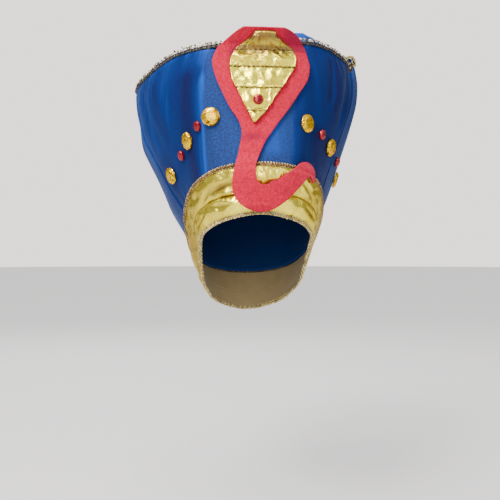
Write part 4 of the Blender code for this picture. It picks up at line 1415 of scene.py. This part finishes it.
class CROWN_OT_braids(Operator):
    """Gimp braid on the rim, over the headband and along the face edge"""
    bl_idname = "crown.braids"
    bl_label = "Braids"

    def execute(self, context):
        self.settings = context.scene.crown_braid
        self.plaits = plait_pattern()
        self.loops = loop_pattern()
        silver, bronze, gold, navy, glint = colors(self.settings, "silver", "bronze", "gold", "navy", "glint")
        # Each gimp gets a darker copy of its colour as painted shade between its turns, and a painted glint
        # colour
        pale = gimp_finish("pale gold thread", gold, darker(gold, 0.35), glint, 0.6)
        self.tints = {
            "bright": gimp_finish("bright picots", silver, darker(silver, 0.30), glint, 0.35),
            "dark": gimp_finish("dark picots", darker(bronze, 0.22), navy, bronze, 0.35),
            "pale": pale,
        }
        turns = range(360)
        rim = [skin(turn, 1) + Vector((0, 0, RIM_CORE_UP)) for turn in turns]
        rim_sides = [(outward(turn) + Vector((0, 0, RIM_CORE_LEAN))).normalized() for turn in turns]
        band = [band_point(turn) + outward(turn) * BRAID_STAND_OUT for turn in turns]
        band_sides = [turned_front(turn) for turn in turns]
        face = [face_point(turn) for turn in turns]
        curl_rows = spread_rows(CURL, CURL_STEPS)
        curl = [curl_point(*row) for row in curl_rows]
        curl_sides = [outward(row[0]) for row in curl_rows]
        dark_gimp = gimp_finish("dark gimp core", navy, darker(navy, 0.3), bronze, 0.3)
        bronze_gimp = gimp_finish("bronze gimp", bronze, darker(bronze, 0.16), gold, 0.6)
        gold_gimp = gimp_finish("gold gimp", gold, darker(gold, 0.12), glint, 0.6)
        self.place("rim_braid", "silver_gimp",
                   self.braided("rim_braid", rim, rim_sides, RIM_CORE, dark_gimp, RIM_EDGINGS)
                   + self.braided("rim_braid", curl, curl_sides, CURL_CORE, pale, CURL_EDGINGS,
                                  closed=False, seed=len(RIM_EDGINGS)))
        self.place("band_top_braid", "bronze_gimp",
                   self.braided("band_top_braid", band, band_sides, BAND_CORE, bronze_gimp, BAND_EDGINGS))
        self.place("face_braid", "gold_gimp",
                   self.braided("face_braid", face, band_sides, FACE_CORE, gold_gimp, FACE_EDGINGS))
        return {"FINISHED"}

    def place(self, name, slot, pieces):
        place_piece(joined(name + "_gimp", pieces), slot, name)

    def braided(self, name, path, sides, core, finish, edgings, closed=True, seed=0):
        """Plaited core along a path and the rows of loops beside it."""
        thread = self.settings.thread
        made = [self.plaits.grown(
            path_piece(name + "_core", path, sides, closed), strands=core.strands,
            plaits=round(path_length(path) / self.settings.plait), steps=CORE_STEPS,
            half_width=core.width / 2 - thread, half_depth=core.width * CORE_DEPTH, thread=thread,
            material=finish)]
        for number, row in enumerate(edgings):
            beside = path_piece(name + "_loops", beside_path(path, sides, row.aside, closed), sides, closed)
            made.append(self.loops.grown(
                beside, spacing=row.spacing, loop=row.loop, thread=row.thread, lift=row.lift,
                scatter=row.scatter, seed=seed + number, material=self.tints[row.tint]))
        return made


def crease_relief(turn, share, creases):
    out = 0.0
    for crease in creases:
        away = turn_between(turn, crease.turn) / crease.length
        off = (share - crease.share - crease.lean * away * CREASE_LEANING) / crease.width
        out += crease.depth * math.exp(-away * away * CREASE_ENDS) * math.exp(-off * off)
    return out


def roll_edges(name, turn, across):
    """Distances below the top of the headband where a roll starts and stops."""
    seam = across.length * split_share(turn)
    beside_seam = -margin_beside(split_point, turn, across, SEAM_LAP)
    if name == "band_upper":
        return margin_beside(band_point, turn, across, TUCKED_EDGE), seam - beside_seam
    return seam + beside_seam, across.length - margin_beside(face_point, turn, across, TUCKED_EDGE)


def roll_spot(name, turn, share):
    """Point on each side of a roll, its place on the cloth and its painted shade."""
    across = face_point(turn) - band_point(turn)
    below = mix(*roll_edges(name, turn, across), share)
    place = band_point(turn) + across.normalized() * below
    normal = skin_normal(turn, BAND_MIDDLE)
    rise = math.sin(math.pi * share) ** ROLL_ROUNDNESS if 0 < share < 1 else 0
    fold = crease_relief(turn, share, CREASES[name])
    lift = mix(ROLL_EDGE, roll_rise(turn), rise) - ROLL_DIP * rise + fold
    # Painted shade beside the roll's edges, on the sides that turn from the light and in the crease valleys
    edge_painted_shade = EDGE_PAINTED_SHADE * max(0.0, 1 - min(share, 1 - share) / EDGE_SHARE)
    worn = min(1.0, max(edge_painted_shade, SIDE_PAINTED_SHADE * sine(turn) ** 2, -fold / FOLD_DARK))
    spot = (math.radians(turn) * BAND_RADIUS, below)
    return place + normal * lift, place - normal * ROLL_INSIDE, spot, worn


def paint_inside(piece):
    """Gives the second material to the faces that look towards the head."""
    for face in piece.data.polygons:
        turn = math.degrees(math.atan2(face.center.x, -face.center.y))
        if face.normal.dot(skin_normal(turn, BAND_MIDDLE)) < INSIDE_FACING:
            face.material_index = 1


class CROWN_OT_headband(Operator):
    """Two padded rolls of gold lame round the head"""
    bl_idname = "crown.headband"
    bl_label = "Headband"

    def execute(self, context):
        settings = context.scene.crown_band
        finish = lame_finish("gold lame", *colors(settings, "lame", "shade"))
        lining = woven_finish("band lining", *colors(settings, "lining"))
        stations, rows = settings.stations, settings.across
        for name in CREASES:
            outer, inner, spots, worn = zip(*(
                roll_spot(name, 360 * index / stations - 180, row / (rows - 1))
                for row in range(rows) for index in range(stations)))
            cloth = mesh_piece(name + "_lame", outer, grid_faces(rows, stations, around=True, flip=True))
            pinned = [*range(stations), *range((rows - 1) * stations, rows * stations)]
            swelled = swollen(cloth, pinned, settings.pressure, settings.looseness, settings.cap)
            bpy.data.objects.remove(cloth)
            outer = tuple(still.lerp(moved, 1 - SIDE_PINNED * min(1.0, (still.x / SIDE_WIDTH) ** 2))
                          for still, moved in zip(outer, swelled))
            piece = mesh_piece(name + "_lame", outer + inner, ring_faces(rows, stations), spots * 2,
                               # The inside of the roll gets painted shade too
                               worn=list(worn) + [INSIDE_PAINTED_SHADE] * len(inner))
            piece = shaped(piece, "SUBSURF", levels=1, render_levels=1)
            place_piece(piece, "gold_lame", name, finish=finish)
            piece.data.materials.append(lining)
            paint_inside(piece)
        return {"FINISHED"}


def felt_shade(across, up):
    """Painted shade of the felt: in creases where it bends, and on its right top that leans away from the
    light.
    """
    dark = FELT_BEND_DARK * smooth((up - FELT_BEND_UP) / FELT_BEND_SOFT)
    dark *= smooth((across - FELT_BEND_ACROSS) / FELT_BEND_SPREAD)
    for row in FELT_CREASES:
        away = across - row.across - row.lean * (up - row.up)
        dark = max(dark, row.dark * bell(away, row.width) * bell(up - row.up, row.height))
    return dark


def rounded_crook(place):
    """Keeps a point of the felt's inner edge on the round crook between its neck and its tail."""
    middle = cobra_place(CROOK_ACROSS, CROOK_UP)
    away = place - middle
    if away.length <= CROOK_RADIUS:
        return place
    below = smooth((-away.y / away.length - CROOK_START) / CROOK_BLEND)
    return place.lerp(middle + away.normalized() * CROOK_RADIUS, below)


def cobra_place(across, up):
    """Width and height, in metres, of a point of the cobra."""
    return Vector((across * COBRA_HALF_WIDTH, COBRA_FOOT_HEIGHT + up * COBRA_HEIGHT))


class CROWN_OT_cobra(Operator):
    """Cobra cut from thick red felt"""
    bl_idname = "crown.cobra"
    bl_label = "Cobra"

    def execute(self, context):
        stations = spread_rows(COBRA, FELT_STEPS)
        front, back, shades = [], [], []
        for index, (across, up, half) in enumerate(stations):
            before, after = stations[max(0, index - 1)], stations[min(len(stations) - 1, index + 1)]
            run = Vector(((after[0] - before[0]) * COBRA_HALF_WIDTH, (after[1] - before[1]) * COBRA_HEIGHT))
            level = smooth((up - NECK_UP) / NECK_BLEND)
            side = Vector((-run.y, run.x)).normalized().lerp(Vector((1, 0)), level).normalized()
            side *= half * COBRA_HALF_WIDTH
            middle = cobra_place(across, up)
            inner_edge = rounded_crook(middle + side)
            for step in range(FELT_COLUMNS):
                place = (middle - side).lerp(inner_edge, step / (FELT_COLUMNS - 1))
                wave = noise.noise(Vector((place.x * FELT_WAVES, place.y * FELT_WAVES, FELT_WAVE_SEED)))
                back.append(felt_point(place.x, place.y, 0))
                front.append(felt_point(place.x, place.y, FELT + FELT_WAVE * wave))
                shades.append(felt_shade(
                    place.x / COBRA_HALF_WIDTH, (place.y - COBRA_FOOT_HEIGHT) / COBRA_HEIGHT))
        piece = mesh_piece("cobra_felt_cut", front + back, sheet_faces(len(stations), FELT_COLUMNS),
                           worn=shades * 2)
        piece = shaped(piece, "BEVEL", width=FELT_BEVEL, segments=2, limit_method="ANGLE",
                       angle_limit=math.radians(50))
        finish = felt_finish("red felt", *colors(context.scene.crown_cobra, "felt"))
        place_piece(piece, "red_felt", "cobra_felt", finish=finish)
        return {"FINISHED"}


def hood_across(up, share):
    """Place across the cobra at a share of the hood's width, left to right."""
    before, after, along = rows_around(HOOD, up)
    return mix(mix(before.left, after.left, along), mix(before.right, after.right, along), share)


def hood_point(up, share, out):
    """Point of the hood, out metres in front of the pad's back."""
    return felt_point(hood_across(up, share) * COBRA_HALF_WIDTH, COBRA_FOOT_HEIGHT + up * COBRA_HEIGHT,
                      FELT + PAD_CLEARANCE + out)


def hood_shade(up):
    """Painted shade of the quilted hood at a height share, where its top bends forward."""
    before, after, along = rows_around(HOOD_SHADES, up)
    return mix(before.worn, after.worn, along)


class CROWN_OT_hood(Operator):
    """Quilted gold pad on the cobra's hood"""
    bl_idname = "crown.hood"
    bl_label = "Hood"

    def execute(self, context):
        settings = context.scene.crown_cobra
        shares = [step / (HOOD_COLUMNS - 1) for step in range(HOOD_COLUMNS)]
        heights = [(mix(before, after, row / HOOD_CHANNEL_ROWS), row / HOOD_CHANNEL_ROWS)
                   for before, after in zip(HOOD_STITCHES, HOOD_STITCHES[1:])
                   for row in range(HOOD_CHANNEL_ROWS)]
        heights.append((HOOD_STITCHES[-1], 0))
        front, back, worn, pinned = [], [], [], []
        for up, along in heights:
            for share in shares:
                edge = share in (0, 1)
                swell = 0
                if not edge:
                    swell = PAD_PILLOW * math.sin(math.pi * along) * math.sin(math.pi * share) ** 0.5
                if edge or along == 0:
                    pinned.append(len(front))
                thickness = PAD_THICKNESS * (PAD_SEWN if edge or along == 0 else 1.0)
                back.append(hood_point(up, share, 0))
                front.append(hood_point(up, share, thickness + PAD_PILLOW_SHARE * swell))
                # Painted shade along the stitched rows, at the edges and where the top bends forward
                seam_painted_shade = SEAM_PAINTED_SHADE if along == 0 else PAD_EDGE_PAINTED_SHADE if edge else 0.0
                worn.append(max(seam_painted_shade, hood_shade(up)))
        rows = len(heights)
        cloth = mesh_piece("cobra_hood_quilt", front, grid_faces(rows, HOOD_COLUMNS))
        if cloth.data.polygons[len(cloth.data.polygons) // 2].normal.y > 0:
            cloth.data.flip_normals()
        front = swollen(cloth, pinned, HOOD_PRESSURE, HOOD_LOOSENESS, settings.puff)
        bpy.data.objects.remove(cloth)
        piece = mesh_piece("cobra_hood_quilt", front + back, sheet_faces(rows, HOOD_COLUMNS), worn=worn * 2)
        shape = bmesh.new()
        shape.from_mesh(piece.data)
        bmesh.ops.recalc_face_normals(shape, faces=shape.faces)
        shape.to_mesh(piece.data)
        shape.free()
        piece = shaped(piece, "SUBSURF", levels=1, render_levels=1)
        finish = lame_finish("hood lame", *colors(settings, "hood", "hood_shade"))
        place_piece(piece, "hood_lame", "cobra_hood", finish=finish)
        pattern = stitch_pattern()
        thread = matte_finish("hood thread", *colors(settings, "hood_thread"))
        seams = []
        for up in HOOD_STITCHES[1:-1]:
            path = [hood_point(up, mix(STITCH_MARGIN, 1 - STITCH_MARGIN, share),
                               PAD_THICKNESS * PAD_SEWN + STITCH_LIFT) for share in shares]
            seam = path_piece("hood_seam", path, [Vector((0, -1, 0))] * len(path), closed=False)
            seams.append(pattern.grown(seam, spacing=STITCH_SPACING, length=STITCH_LENGTH,
                                       thread=STITCH_RADIUS, material=thread))
        place_piece(joined("cobra_hood_stitches", seams), "hood_lame")
        return {"FINISHED"}


def node_place(name):
    """Seat, outward axis, radius and relative width of a CAD stone, from its mesh."""
    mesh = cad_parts[name].data
    low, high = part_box(name)
    centre = (low + high) / 2
    total = Vector()
    for face in mesh.polygons:
        if face.area > total.length:
            total = face.normal * face.area
    points = [vertex.co for vertex in mesh.vertices]
    normal = total.normalized()
    if normal.dot(outward(math.degrees(math.atan2(centre.x, -centre.y)))) < 0:
        normal = -normal
    middle = sum(points, Vector()) / len(points)
    base = min((point - middle).dot(normal) for point in points)
    radius = max(((point - middle) - normal * (point - middle).dot(normal)).length for point in points)
    level = normal.to_track_quat("Z", "Y") @ Vector((1, 0, 0))
    across = max((point - middle).dot(level) for point in points) / radius
    return middle + normal * base, normal, radius, across


def cushion_stone(name, node, cut):
    """Domed stone with many small flat facets, in the place of a CAD stone."""
    seat, normal, radius, across = node_place(node)
    turned = normal.to_track_quat("Z", "Y").to_matrix()
    points = []
    for ring in range(cut.rings + 1):
        share = ring / cut.rings
        out = math.cos(share * math.pi / 2 * STONE_CLOSING) ** STONE_ROUNDNESS
        up = STONE_GIRDLE + (1 - STONE_GIRDLE) * math.sin(share * math.pi / 2)
        for side in range(cut.sides):
            angle = math.tau * (side + 0.5 * (ring % 2)) / cut.sides
            wobble = noise.noise(Vector((ring * WOBBLE_RING, side * WOBBLE_SIDE, sum(seat) * WOBBLE_SEAT)))
            wobble = 1 + cut.jitter * wobble
            uneven = 1 + STONE_UNEVEN * cut.jitter * noise.noise(Vector((side, ring, UNEVEN_SEED)))
            points.append(Vector((math.cos(angle) * out * radius * across * wobble,
                                  math.sin(angle) * out * radius * wobble, STONE_HEIGHT * up * uneven)))
    for side in range(cut.sides):
        angle = math.tau * side / cut.sides
        points.append(Vector((math.cos(angle) * across, math.sin(angle), 0)) * radius * STONE_FOOT)
    shape = bmesh.new()
    verts = [shape.verts.new(seat + turned @ point) for point in points]
    *rings, foot = (verts[first:first + cut.sides] for first in range(0, len(verts), cut.sides))
    for ring, (low, high) in enumerate(zip(rings, rings[1:])):
        for side in range(cut.sides):
            after = (side + 1) % cut.sides
            slant = (low[side], high[after]) if ring % 2 else (low[after], high[side])
            shape.faces.new((low[side], low[after], slant[1]))
            shape.faces.new((slant[0], high[after], high[side]))
    shape.faces.new(rings[-1])
    for side in range(cut.sides):
        after = (side + 1) % cut.sides
        shape.faces.new((foot[side], foot[after], rings[0][after], rings[0][side]))
    shape.faces.new(foot[::-1])
    bmesh.ops.recalc_face_normals(shape, faces=shape.faces)
    mesh = bpy.data.meshes.new(name)
    shape.to_mesh(mesh)
    shape.free()
    # Share of painted highlight for each facet, at random
    mesh.attributes.new("facet", "FLOAT", "FACE").data.foreach_set(
        "value", [0.5 + 0.5 * noise.noise(face.center * FACET_MOTTLE) for face in mesh.polygons])
    return link_object(name, mesh)


class CROWN_OT_stones(Operator):
    """Crackled amber stones and faceted red stones"""
    bl_idname = "crown.stones"
    bl_label = "Stones"

    def execute(self, context):
        settings = context.scene.crown_stone
        foil = foil_finish("amber foil", *colors(settings, "amber_light", "amber", "amber_dark"))
        red = gem_finish("ruby acrylic", *colors(settings, "ruby", "ruby_glow"))
        for name in sorted(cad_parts):
            if name.startswith("gold_gem"):
                place_piece(cushion_stone(name + "_foil", name, FOIL_CUT), "amber_stone", name, finish=foil)
            elif "gem" in name:
                place_piece(cushion_stone(name + "_cut", name, RED_CUT), "red_stone", name, finish=red)
        return {"FINISHED"}


def studio_world(backdrop, strength):
    """Pale backdrop for the eye, with a softer light of its own that fades towards the ground."""
    world = bpy.data.worlds.new("studio")
    world.use_nodes = True
    made = Nodes(world.node_tree)
    seen = made.fill(made.tree.nodes["Background"], {"Color": (*backdrop, 1), "Strength": strength})
    height = made.split(made.add("ShaderNodeTexCoord").outputs["Generated"], "Z")
    ramp = made.add("ShaderNodeValToRGB", {0: made.math("MULTIPLY_ADD", height, 0.5, 0.5)})
    ramp.color_ramp.elements.new(0.5)
    for element, row in zip(ramp.color_ramp.elements, SKY):
        element.position = row.height
        element.color = (*row.color, 1)
    lit = made.add("ShaderNodeBackground", {"Color": ramp.outputs["Color"]})
    path = made.add("ShaderNodeLightPath").outputs["Is Camera Ray"]
    choose = made.add("ShaderNodeMixShader", {0: path, 1: lit.outputs[0], 2: seen.outputs[0]})
    made.fill(made.tree.nodes["World Output"], {0: choose.outputs[0]})
    return world


class CROWN_OT_stage(Operator):
    """Pale floor, soft lights and the camera"""
    bl_idname = "crown.stage"
    bl_label = "Stage"

    def execute(self, context):
        settings = context.scene.crown_stage
        shape = bmesh.new()
        bmesh.ops.create_circle(shape, cap_ends=True, segments=FLOOR_SIDES, radius=FLOOR_RADIUS)
        bmesh.ops.translate(shape, verts=shape.verts, vec=(0, 0, -settings.floor_drop))
        mesh = bpy.data.meshes.new("floor")
        shape.to_mesh(mesh)
        shape.free()
        floor = link_object("floor", mesh)
        floor.data.materials.append(matte_finish("floor", tuple(settings.floor)))

        context.scene.world = studio_world(tuple(settings.backdrop), settings.backdrop_light)
        sun = bpy.data.lights.new("ceiling", "SUN")
        sun.energy = settings.ceiling
        sun.angle = math.radians(CEILING_SPREAD)
        lamp = link_object("ceiling", sun)
        lamp.rotation_euler = CEILING_AIM.to_track_quat("-Z", "Y").to_euler()
        for row in LIGHTS:
            light = bpy.data.lights.new(row.name, "AREA")
            light.energy = settings.key * row.share
            light.size = row.size
            lamp = link_object(row.name, light)
            lamp.location = row.place
            lamp.rotation_euler = (LIGHT_AIM - Vector(row.place)).to_track_quat("-Z", "Y").to_euler()

        camera = bpy.data.cameras.new("camera")
        camera.lens = CAMERA_LENS
        viewer = link_object("camera", camera)
        ahead = Vector((sine(CAMERA_TURN), cosine(CAMERA_TURN), 0))
        right = Vector((cosine(CAMERA_TURN), -sine(CAMERA_TURN), 0))
        viewer.location = ahead * -CAMERA_DISTANCE + right * CAMERA_ASIDE + Vector((0, 0, CAMERA_HEIGHT))
        viewer.rotation_euler = (math.pi / 2, 0, -math.radians(CAMERA_TURN))
        context.scene.camera = viewer
        return {"FINISHED"}


class CROWN_PT_sidebar(Panel):
    """Lists the crown's pieces and their settings"""
    bl_label = "Pharaoh crown"
    bl_space_type = "VIEW_3D"
    bl_region_type = "UI"
    bl_category = "Crown"

    def draw(self, context):
        for operator, group in SIDEBAR:
            box = self.layout.box()
            box.operator(operator.bl_idname)
            settings = getattr(context.scene, group)
            for key in settings.bl_rna.properties.keys():
                if key not in ("rna_type", "name"):
                    box.prop(settings, key)


SETTINGS = {
    "crown_wall": CrownWallSettings,
    "crown_band": CrownBandSettings,
    "crown_cobra": CrownCobraSettings,
    "crown_braid": CrownBraidSettings,
    "crown_stone": CrownStoneSettings,
    "crown_stage": CrownStageSettings,
}
SIDEBAR = [
    (CROWN_OT_walls, "crown_wall"),
    (CROWN_OT_top_panel, "crown_wall"),
    (CROWN_OT_braids, "crown_braid"),
    (CROWN_OT_headband, "crown_band"),
    (CROWN_OT_cobra, "crown_cobra"),
    (CROWN_OT_hood, "crown_cobra"),
    (CROWN_OT_stones, "crown_stone"),
    (CROWN_OT_stage, "crown_stage"),
]
CLASSES = [*SETTINGS.values(), *(operator for operator, _ in SIDEBAR), CROWN_PT_sidebar]


def register():
    for kind in CLASSES:
        bpy.utils.register_class(kind)
    for group, kind in SETTINGS.items():
        setattr(bpy.types.Scene, group, PointerProperty(type=kind))


def unregister():
    for group in SETTINGS:
        delattr(bpy.types.Scene, group)
    for kind in reversed(CLASSES):
        bpy.utils.unregister_class(kind)


def main():
    register()
    bpy.ops.crown.stage()
    bpy.ops.crown.walls()
    bpy.ops.crown.top_panel()
    bpy.ops.crown.braids()
    bpy.ops.crown.headband()
    bpy.ops.crown.cobra()
    bpy.ops.crown.hood()
    bpy.ops.crown.stones()


if __name__ == "__main__":
    main()
